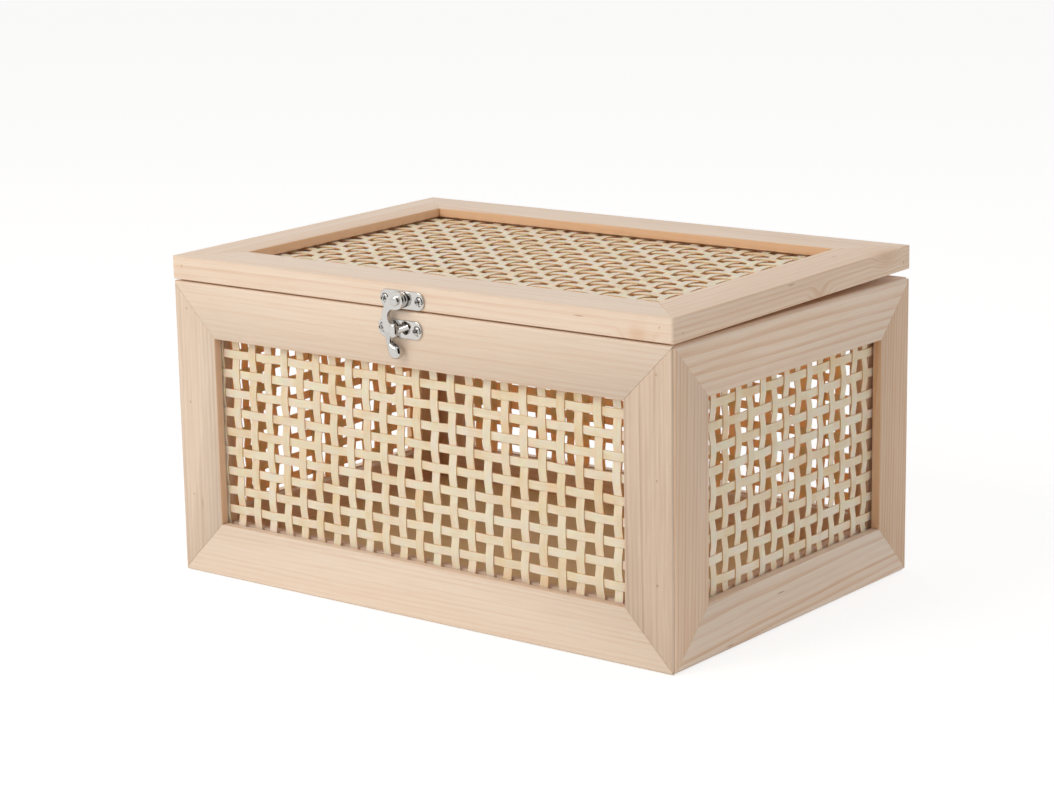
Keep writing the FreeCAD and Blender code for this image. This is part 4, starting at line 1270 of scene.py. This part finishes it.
@dataclass
class CastHook:
    """The cast hook: a flat blade with soft edges that swells into a finger knob."""

    middle: float = 3.6 * MM
    half_thick: float = 1.0 * MM
    knob_front: float = 2.9 * MM
    knob_back: float = 1.7 * MM
    knob_starts: float = -14.5 * MM
    knob_full: float = -21.5 * MM
    flank: float = 0.6 * MM
    fullness: float = 1.3
    shoulder: float = 5.0
    steps: int = 6
    insets: tuple[float, ...] = (0.03 * MM, 0.12 * MM, 0.3 * MM)
    grain: float = 0.42 * MM
    least_swell: float = 1e-9
    least_gap: float = 1e-7
    smooth_deg: float = 50.0

    @property
    def face(self) -> float:
        """How far the blade's flat face stands out."""
        return self.middle + self.half_thick

    def outline(self) -> list[Vector]:
        """The blade's outline as a smooth closed line."""
        knots = [Vector(point) * MM for point in HOOK_OUTLINE]
        count = len(knots)
        line = []
        for k, here in enumerate(knots):
            before, after, beyond = (knots[(k + step) % count] for step in (-1, 1, 2))
            for step in range(self.steps):
                t = step / self.steps
                line.append(0.5 * (2 * here + (after - before) * t
                                   + (2 * before - 5 * here + 4 * after - beyond) * t ** 2
                                   + (3 * here - before - 3 * after + beyond) * t ** 3))
        return line

    def sheet(self) -> tuple[np.ndarray, np.ndarray]:
        """Cover the outline with small triangles, closer together at its edge.

        Returns:
            The points, and each triangle's three point numbers.
        """
        line = self.outline()
        count = len(line)
        spots = list(line)
        for inset in self.insets:
            for k in range(count):
                chord = (line[(k + 1) % count] - line[k - 1]).normalized()
                spots.append(line[k] + Vector((chord.y, -chord.x)) * inset)
        lows = Vector((min(p.x for p in line), min(p.y for p in line)))
        highs = Vector((max(p.x for p in line), max(p.y for p in line)))
        columns, rows = (int((highs[k] - lows[k]) / self.grain) for k in (0, 1))
        for column in range(columns):
            for row in range(rows):
                spots.append(lows + Vector((column + 0.5 * (row % 2), row)) * self.grain)
        cover = delaunay_2d_cdt(spots, [], [list(range(count))], 1, self.least_gap)
        used, triangles = np.unique(np.array(cover[2]), return_inverse=True)
        points = np.array([tuple(point) for point in cover[0]])[used]
        return points, triangles.reshape(-1, 3)

    def rim(self, triangles: np.ndarray) -> list[tuple[int, int]]:
        """The sheet's outer edges, as pairs of point numbers."""
        seen = {(t[k], t[(k + 1) % 3]) for t in triangles.tolist() for k in range(3)}
        return sorted(edge for edge in seen if edge[::-1] not in seen)

    def inflate(self, points: np.ndarray, triangles: np.ndarray,
                fixed: Iterable[int]) -> np.ndarray:
        """Blow the sheet up like a soap film held at its outline.

        Args:
            points: The sheet's points.
            triangles: Its triangles.
            fixed: Numbers of the points on its outline.

        Returns:
            Each point's height, nought on the outline and highest where the blade is widest.
        """
        count = len(points)
        stiffness, load = np.zeros((count, count)), np.zeros(count)
        for k in range(3):
            first, second, third = (triangles[:, (k + j) % 3] for j in range(3))
            one, two = points[first] - points[third], points[second] - points[third]
            area = np.abs(one[:, 0] * two[:, 1] - one[:, 1] * two[:, 0])
            pull = (one * two).sum(axis=1) / area / 2
            for a, b, sign in ((first, second, -1), (second, first, -1), (first, first, 1),
                               (second, second, 1)):
                np.add.at(stiffness, (a, b), sign * pull)
            np.add.at(load, first, area / 3)
        inner = np.setdiff1d(np.arange(count), np.array(sorted(fixed)))
        height = np.zeros(count)
        height[inner] = np.linalg.solve(stiffness[np.ix_(inner, inner)], load[inner])
        return self.fullness * np.sqrt(np.maximum(height, 0.0))

    def mesh(self, place: Matrix) -> bpy.types.Mesh:
        """Build the hook.

        Args:
            place: Local axes at the pivot: X to the right, Y up, Z out of the wood.

        Returns:
            The mesh.
        """
        points, triangles = self.sheet()
        count = len(points)
        rim = self.rim(triangles)
        swell = self.inflate(points, triangles, {k for edge in rim for k in edge})
        swell = np.maximum(swell, self.least_swell)
        down = self.knob_starts - points[:, 1]
        share = np.clip(down / (self.knob_starts - self.knob_full), 0, 1)
        share = share * share * (3 - 2 * share)
        flank = self.flank * (1 - share)
        layers = []
        for sign, knob in ((1, self.knob_front), (-1, self.knob_back)):
            limit = self.half_thick + share * (knob - self.half_thick) - flank
            held = (swell ** -self.shoulder + limit ** -self.shoulder) ** (-1 / self.shoulder)
            layers.append(np.column_stack((points, self.middle + sign * (flank + held))))
        faces = [tuple(t) for t in triangles.tolist()]
        faces += [tuple(k + count for k in reversed(t)) for t in triangles.tolist()]
        faces += [(b, a, a + count, b + count) for a, b in rim]
        solids = Solids()
        solids.add([Vector(point) for layer in layers for point in layer.tolist()], faces)
        return solids.mesh("latch_hook", self.smooth_deg, place)


@dataclass
class Latch:
    """The swing-hook latch: a plate with the pivot on the lid, and a catch on the wall."""

    plate_half: tuple[float, float] = (13.0 * MM, 4.35 * MM)
    plate_thick: float = 1.1 * MM
    plate_corner: float = 3.9 * MM
    plate_back_ease: float = 0.05 * MM
    plate_ease: float = 0.4 * MM
    screw_half: float = 10.2 * MM
    screw_drop: float = 0.12 * MM
    sink_radius: float = 2.45 * MM
    sink_depth: float = 0.75 * MM
    # The shape that cuts a screw's sink goes this far past the surface
    past: float = 0.3 * MM
    sink_steps: int = 32
    latch_x: float = -1.0 * MM
    latch_up: float = 4.5 * MM
    catch_x: float = -2.7 * MM
    catch_height: float = 139.35 * MM
    pivot_x: float = -2.0 * MM
    seat_radius: float = 3.85 * MM
    seat_foot: float = 0.2 * MM
    seat_top: float = 2.5 * MM
    seat_ease: float = 0.35 * MM
    seat_shoulder: float = 0.1 * MM
    rivet_radius: float = 2.3 * MM
    rivet_step: float = 0.85 * MM
    rivet_dome: float = 0.9 * MM
    rivet_buried: float = 0.5 * MM
    rivet_tip: float = 0.02 * MM
    rivet_rings: int = 8
    neck_radius: float = 1.35 * MM
    neck_flare: float = 0.4 * MM
    neck_levels: tuple[float, float] = (0.9 * MM, 1.6 * MM)
    neck_buried: float = 0.4 * MM
    neck_steps: int = 24
    head_half: tuple[float, float] = (2.2 * MM, 3.5 * MM)
    head_levels: tuple[float, float] = (4.85 * MM, 7.05 * MM)
    head_corner: float = 2.1 * MM
    head_eases: tuple[float, float] = (0.3 * MM, 1.45 * MM)
    arm_foot: Vector = Vector((5.4, 1.7, 0.9))
    arm_top: Vector = Vector((1.0, -0.3, 3.6))
    arm_radii: tuple[float, float] = (1.35, 1.25)
    arm_steps: int = 20
    screw_radius: float = 1.85 * MM
    screw_dome: float = 0.5 * MM
    lid_screws_seed: int = 4
    catch_screws_seed: int = 7

    def axes(self, across: float, height: float) -> Matrix:
        """Local axes on the front: X to the right, Y up, Z out of the wood, in metres."""
        turn = Matrix((X_AXIS, Z_AXIS, -Y_AXIS)).transposed().to_4x4()
        return Matrix.Translation(Vector((across, -HALF_DEPTH, height))) @ turn

    def plate(self, extras: Solids, name: str, place: Matrix) -> bpy.types.Mesh:
        """A plate with sunk screw holes, and what stands on it.

        Args:
            extras: Shapes that stand on the plate.
            name: The mesh's name.
            place: Local axes at the plate's middle.

        Returns:
            The mesh.
        """
        solids = Solids()
        solids.slab(self.plate_half, self.plate_corner, (0.0, self.plate_thick),
                    (self.plate_back_ease, self.plate_ease), Vector())
        sinks = Solids()
        for end in (-1, 1):
            sinks.turn([(self.sink_radius - self.sink_depth, self.plate_thick - self.sink_depth),
                        (self.sink_radius + self.past, self.plate_thick + self.past)],
                       Vector((end * self.screw_half, 0, 0)), Z_AXIS, self.sink_steps)
        mesh = cut_away(solids.mesh(name), sinks.mesh("sinks"), SMOOTH_DEG)
        whole = bmesh.new()
        whole.from_mesh(mesh)
        other = extras.mesh("extras")
        whole.from_mesh(other)
        whole.to_mesh(mesh)
        whole.free()
        mesh.shade_smooth()
        mesh.set_sharp_from_angle(angle=math.radians(SMOOTH_DEG))
        mesh.transform(place)
        return mesh

    def screw_seats(self) -> list[Vector]:
        """The middles of a plate's screw heads, on the plate's local axes."""
        return [Vector((end * self.screw_half, 0, self.plate_thick - self.screw_drop))
                for end in (-1, 1)]

    def build(self, nickel: bpy.types.Material, screw_nickel: bpy.types.Material,
              tree: bpy.types.NodeTree) -> None:
        """Build and dress the latch.

        Args:
            nickel: Its metal.
            screw_nickel: Its screws' metal.
            tree: The screw node group.
        """
        lid_height = LID_LOW + self.latch_up
        pivot = self.axes(self.pivot_x, lid_height)
        on_lid = self.axes(self.latch_x, lid_height)
        on_wall = self.axes(self.catch_x, self.catch_height)
        screws = Screws(self.screw_radius, self.screw_dome)

        seat = Solids()
        foot = Vector((self.pivot_x - self.latch_x, 0, 0))
        seat.turn([(self.seat_radius, self.seat_foot),
                   (self.seat_radius, self.seat_top - self.seat_ease),
                   (self.seat_radius - self.seat_shoulder, self.seat_top - self.seat_shoulder),
                   (self.seat_radius - self.seat_ease, self.seat_top)], foot, Z_AXIS)
        pieces = {"latch_plate": (self.plate(seat, "latch_plate", on_lid), "lid")}

        hook = CastHook()
        rivet = Solids()
        angles = [math.pi / 2 * k / self.rivet_rings for k in range(self.rivet_rings)]
        dome = [(self.rivet_radius * math.cos(a), self.rivet_step + self.rivet_dome * math.sin(a))
                for a in angles]
        rivet.turn([(self.rivet_radius, -self.rivet_buried)] + dome
                   + [(self.rivet_tip, self.rivet_step + self.rivet_dome)],
                   Vector((0, 0, hook.face)), Z_AXIS)
        pieces["latch_pivot_rivet"] = (rivet.mesh("latch_pivot_rivet", place=pivot), "lid")
        pieces["latch_hook"] = (hook.mesh(pivot), "hook")

        catch = Solids()
        low, high = self.head_levels
        neck_foot, neck_starts = self.neck_levels
        catch.turn([(self.neck_radius + self.neck_flare, neck_foot),
                    (self.neck_radius, neck_starts), (self.neck_radius, low + self.neck_buried)],
                   Vector(), Z_AXIS, self.neck_steps)
        catch.slab(self.head_half, self.head_corner, (low, high), self.head_eases, Vector())
        lay = (self.arm_top - self.arm_foot) * MM
        catch.turn([(self.arm_radii[0] * MM, 0.0), (self.arm_radii[1] * MM, lay.length)],
                   self.arm_foot * MM, lay.normalized(), self.arm_steps)
        pieces["catch_plate"] = (self.plate(catch, "catch_plate", on_wall), "box")
        for name, place, seed, body in (
                ("latch_plate_screws", on_lid, self.lid_screws_seed, "lid"),
                ("catch_plate_screws", on_wall, self.catch_screws_seed, "box")):
            heads = screws.build(tree, name, self.screw_seats(), place, screw_nickel, seed)
            pieces[name] = (heads, body)
        for name, (mesh, body) in pieces.items():
            if body != "box":
                lean_lid(mesh)
            finish = screw_nickel if name.endswith("screws") else nickel
            as_piece("cast_" + name, mesh, finish, body, [name])


@dataclass
class Hinges:
    """The screws of the two butt hinges, whose leaves and pins are dressed as they are."""

    screw_half: float = 8.0 * MM
    inset: float = 6.0 * MM
    leaf_thick: float = 1.0 * MM
    flush: float = 0.1 * MM
    screw_radius: float = 1.95 * MM
    screw_dome: float = 0.14 * MM
    slot_depth: float = 0.3 * MM
    seed: int = 11

    def build(self, steel: bpy.types.Material, tree: bpy.types.NodeTree) -> None:
        """Set the screws in both pairs of leaves.

        Args:
            steel: Their metal.
            tree: The screw node group.
        """
        screws = Screws(self.screw_radius, self.screw_dome, slot_depth=self.slot_depth)
        for body, face, up in (("box", HEIGHT + self.leaf_thick, 1),
                               ("lid", LID_LOW - self.leaf_thick, -1)):
            seats = []
            for side in ("left", "right"):
                low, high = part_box("hinge_%s_%s_leaf" % (side, body))
                middle = (low[0] + high[0]) / 2
                seats += [Vector((middle + end * self.screw_half, up * (HALF_DEPTH - self.inset), 0))
                          for end in (-1, 1)]
            place = Matrix.Translation(Vector((0, 0, face - up * self.flush)))
            if up < 0:
                place = place @ Matrix.Rotation(math.pi, 4, "X")
            name = "hinge_%s_screws" % body
            mesh = screws.build(tree, name, seats, place, steel, self.seed + up)
            if body == "lid":
                lean_lid(mesh)
            as_piece("slotted_" + name, mesh, steel, body, [name])


# Studio and camera
@dataclass(frozen=True)
class Studio:
    """White ground and soft daylight from the front left, with the photograph's viewpoint."""

    camera_place_mm: tuple[float, float, float] = (796.37, -1036.58, 381.92)
    azimuth_deg: float = 37.816
    elevation_deg: float = 12.579
    roll_deg: float = -0.950
    focal_px: float = 2712.07
    frame_width_px: float = 1054.0
    sensor_mm: float = 36.0
    clip: tuple[float, float] = (0.05, 20.0)
    ground_reach: float = 4.0
    ground_drop: float = -0.2 * MM
    ground_glow: float = 0.75
    ground_roughness: float = 0.9
    # Place across, its front and back edge, and its height
    card: tuple[float, float, float, float] = (0.36, -0.5, 0.6, 1.0)
    # The world's level falls from the horizon to the ceiling over this range of heights, and
    # rises to the back over this range of depths
    horizon_level: float = 0.95
    zenith_level: float = 0.33
    ceiling: tuple[float, float] = (0.1, 0.6)
    back_gain: float = 1.5
    to_back: tuple[float, float] = (-0.4, 0.6)
    lamp_target: Vector = Vector((0.0, 0.0, 0.08))
    key_place: Vector = Vector((-0.55, -1.5, 1.25))
    key_size: float = 0.9
    key_watts: float = 15.0
    top_place: Vector = Vector((0.1, 0.2, 1.8))
    top_size: float = 1.2
    top_watts: float = 2.8

    def camera(self) -> None:
        """Set up the camera."""
        data = bpy.data.cameras.new("camera")
        data.sensor_width = self.sensor_mm
        data.sensor_fit = "HORIZONTAL"
        data.lens = self.focal_px / self.frame_width_px * self.sensor_mm
        data.clip_start, data.clip_end = self.clip
        camera = bpy.data.objects.new("camera", data)
        bpy.context.scene.collection.objects.link(camera)
        azimuth, elevation = math.radians(self.azimuth_deg), math.radians(self.elevation_deg)
        forward = Vector((-math.sin(azimuth) * math.cos(elevation),
                          math.cos(azimuth) * math.cos(elevation), -math.sin(elevation)))
        level = forward.cross(Z_AXIS).normalized()
        over = level.cross(forward)
        roll = math.radians(self.roll_deg)
        right = level * math.cos(roll) + over * math.sin(roll)
        up = right.cross(forward)
        turn = Matrix((right, up, -forward)).transposed().to_4x4()
        camera.matrix_world = Matrix.Translation(Vector(self.camera_place_mm) * MM) @ turn
        bpy.context.scene.camera = camera

    def staged(self, name: str, points: Sequence[tuple[float, float, float]],
               material: bpy.types.Material) -> bpy.types.Object:
        """Stand one flat card on the set.

        Args:
            name: The card's name.
            points: Its four corners in metres.
            material: Its finish.

        Returns:
            The card.
        """
        mesh = bpy.data.meshes.new(name)
        mesh.from_pydata(points, [], [(0, 1, 2, 3)])
        mesh.materials.append(material)
        card = bpy.data.objects.new(name, mesh)
        bpy.context.scene.collection.objects.link(card)
        return card

    def seen_directly(self, tree: bpy.types.NodeTree) -> bpy.types.NodeSocket:
        """Share of one on rays from the camera, off gloss and through glass."""
        path = add(tree, "ShaderNodeLightPath").outputs
        mirrored = reckon(tree, "MAXIMUM", path["Is Glossy Ray"], path["Is Transmission Ray"])
        return reckon(tree, "MAXIMUM", path["Is Camera Ray"], mirrored)

    def ground(self) -> None:
        """Lay the ground, which looks white and still takes the object's shadow."""
        material, tree, shader = new_material("white_ground")
        shader.inputs["Base Color"].default_value = linear("#F1F0EE")
        shader.inputs["Roughness"].default_value = self.ground_roughness
        shader.inputs["Specular IOR Level"].default_value = 0.0
        half = add(tree, "ShaderNodeBsdfDiffuse", {"Color": linear("#A8A7A6")})
        glow = add(tree, "ShaderNodeEmission", {"Strength": self.ground_glow})
        lit = add(tree, "ShaderNodeAddShader", {0: half.outputs[0], 1: glow.outputs[0]})
        mixed = add(tree, "ShaderNodeMixShader", {
            0: self.seen_directly(tree), 1: shader.outputs[0], 2: lit.outputs[0]})
        outlet = next(node for node in tree.nodes if node.type == "OUTPUT_MATERIAL")
        tree.links.new(mixed.outputs[0], outlet.inputs["Surface"])
        far, drop = self.ground_reach, self.ground_drop
        self.staged("ground", [(-far, -far, drop), (far, -far, drop), (far, far, drop),
                               (-far, far, drop)], material)

    def dark_card(self) -> None:
        """Stand a dark card at the right, seen in the polished metal alone."""
        material, _, shader = new_material("dark_card")
        shader.inputs["Base Color"].default_value = linear("#1A1817")
        shader.inputs["Specular IOR Level"].default_value = 0.0
        across, near, far, high = self.card
        card = self.staged("dark_card", [(across, near, 0.0), (across, far, 0.0),
                                         (across, far, high), (across, near, high)], material)
        card.visible_camera = False
        card.visible_diffuse = False
        card.visible_shadow = False
        card.visible_transmission = False

    def world(self) -> None:
        """Light the scene evenly, and show white to the camera and in reflections."""
        world = bpy.data.worlds.new("studio")
        bpy.context.scene.world = world
        world.use_nodes = True
        tree = world.node_tree
        tree.nodes.clear()
        # A white cove all round, brightest behind, under a dimmer ceiling
        way = add(tree, "ShaderNodeSeparateXYZ", {
            0: add(tree, "ShaderNodeTexCoord").outputs["Generated"]}).outputs
        high = remap(tree, way["Z"], *self.ceiling, self.horizon_level, self.zenith_level)
        level = reckon(tree, "MULTIPLY", high, remap(tree, way["Y"], *self.to_back, 1.0,
                                                     self.back_gain))
        sky = add(tree, "ShaderNodeBackground", {"Color": linear("#FFFFFF"), "Strength": level})
        white = add(tree, "ShaderNodeBackground", {"Color": linear("#FFFFFF"), "Strength": 1.0})
        mixed = add(tree, "ShaderNodeMixShader", {
            0: self.seen_directly(tree), 1: sky.outputs[0], 2: white.outputs[0]}).outputs[0]
        add(tree, "ShaderNodeOutputWorld", {"Surface": mixed})

    def lamp(self, name: str, place: Vector, size: float, power: float, colour: str) -> None:
        """Hang one soft square lamp that points at the box.

        Args:
            name: The lamp's name.
            place: Where it hangs.
            size: Side of the square in metres.
            power: Watts.
            colour: Its colour.
        """
        data = bpy.data.lights.new(name, "AREA")
        data.size, data.energy, data.color = size, power, linear(colour)[:3]
        lamp = bpy.data.objects.new(name, data)
        lamp.location = place
        lamp.rotation_euler = (self.lamp_target - place).to_track_quat("-Z", "Y").to_euler()
        bpy.context.scene.collection.objects.link(lamp)

    def build(self) -> None:
        """Build the whole studio."""
        self.camera()
        self.ground()
        self.dark_card()
        self.world()
        self.lamp("key", self.key_place, self.key_size, self.key_watts, "#FFF6EA")
        self.lamp("top", self.top_place, self.top_size, self.top_watts, "#F4F7FF")


# Uprights, cross strips, and nought or one for which goes over at the first crossing: for the front
# and the back, for the sides, and for the lid
WIDE_WEAVE = (StripSet(count=24, first_mm=-124.5, pitch_mm=10.45, width_mm=4.6, swing_mm=0.36,
                       wander_mm=0.55),
              StripSet(count=9, first_mm=-39.5, pitch_mm=9.875, width_mm=4.2, swing_mm=0.23,
                       wander_mm=0.35), 0)
NARROW_WEAVE = (StripSet(count=15, first_mm=-72.8, pitch_mm=10.08, width_mm=4.6, swing_mm=0.36,
                         wander_mm=0.6),
                StripSet(count=9, first_mm=-41.0, pitch_mm=10.25, width_mm=4.2, swing_mm=0.23,
                         wander_mm=0.35), 1)
LID_WEAVE = (StripSet(count=23, first_mm=-115.5, pitch_mm=10.5, width_mm=4.7, swing_mm=0.36,
                      wander_mm=0.45),
             StripSet(count=15, first_mm=-69.3, pitch_mm=9.9, width_mm=4.4, swing_mm=0.23,
                      wander_mm=0.3), 0)
LID_SEED = 11
# The cane's seed is this much more than that of its panel's wood
CANE_SEED = 20
# The plywood's face is peeled from a log whose middle is this far below it
BOARD_HEART = Vector((0, 0, -0.3))
BOARD_CONTRAST = 0.3
BOARD_SEED = 2


def wall(name: str, right: Vector, members: tuple[str, str, str, str], seed: int) -> FramePanel:
    """One wall of the box.

    Args:
        name: The side that it is on.
        right: Direction to the right, as seen from outside.
        members: Its low, high, left and right member.
        seed: Number that sets its wood's figure.

    Returns:
        The wall's frame.
    """
    outward = right.cross(Z_AXIS)
    is_wide = abs(right.x) > 0.5
    away, half_span = (HALF_DEPTH, HALF_WIDTH) if is_wide else (HALF_WIDTH, HALF_DEPTH)
    centre = outward * away + Z_AXIS * HEIGHT / 2
    return FramePanel(name, centre, right, Z_AXIS, 2 * half_span, HEIGHT, members, "box", seed)


def cane_panels() -> list[CanePanel]:
    """The four walls and the lid, each a frame with its weave, in the order that they are built."""
    panels = []
    for name, right, left_end, right_end, seed, (uprights, bands, over_first) in (
            ("front", X_AXIS, "left", "right", 3, WIDE_WEAVE),
            ("right", Y_AXIS, "front", "rear", 5, NARROW_WEAVE),
            ("back", -X_AXIS, "right", "left", 7, WIDE_WEAVE),
            ("left", -Y_AXIS, "rear", "front", 9, NARROW_WEAVE)):
        members = (name + "_bottom_rail", name + "_top_rail",
                   "%s_%s_stile" % (name, left_end), "%s_%s_stile" % (name, right_end))
        panel = wall(name, right, members, seed)
        panels.append(CanePanel(panel, uprights, bands, over_first, CANE_SEED + seed))
    members = ("lid_front_rail", "lid_back_rail", "lid_left_rail", "lid_right_rail")
    lid = FramePanel("lid", Z_AXIS * LID_TOP, X_AXIS, Y_AXIS, 2 * HALF_WIDTH, 2 * HALF_DEPTH,
                     members, "lid", LID_SEED)
    uprights, bands, over_first = LID_WEAVE
    panels.append(CanePanel(lid, uprights, bands, over_first, CANE_SEED + LID_SEED))
    return panels


def main() -> None:
    """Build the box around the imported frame."""
    logging.basicConfig(level=logging.INFO, format="%(message)s")
    bpy.context.scene.view_settings.view_transform = "Standard"
    Studio().build()
    mouths = Brads().mouths()
    weave = weave_tree()
    for cane in cane_panels():
        cane.panel.build(mouths)
        cane.build(weave)
    nickel, steel = NICKEL.material(), HINGE_STEEL.material()
    screws = screw_tree()
    Latch().build(nickel, SCREW_NICKEL.material(), screws)
    Hinges().build(steel, screws)
    board = BOARD.material("bottom_board", X_AXIS, BOARD_HEART, random.Random(BOARD_SEED),
                           Figure(contrast=BOARD_CONTRAST))
    plain = {"plywood": board, "hinge_steel": steel, "brad_steel": BRAD_STEEL.material()}
    for entry in frame["record"]["subparts"]:
        finish = plain.get(entry["material_slot"])
        if finish is not None:
            for place in frame["nodes"][entry["node"]].material_slots:
                place.material = finish


if __name__ == "__main__":
    main()
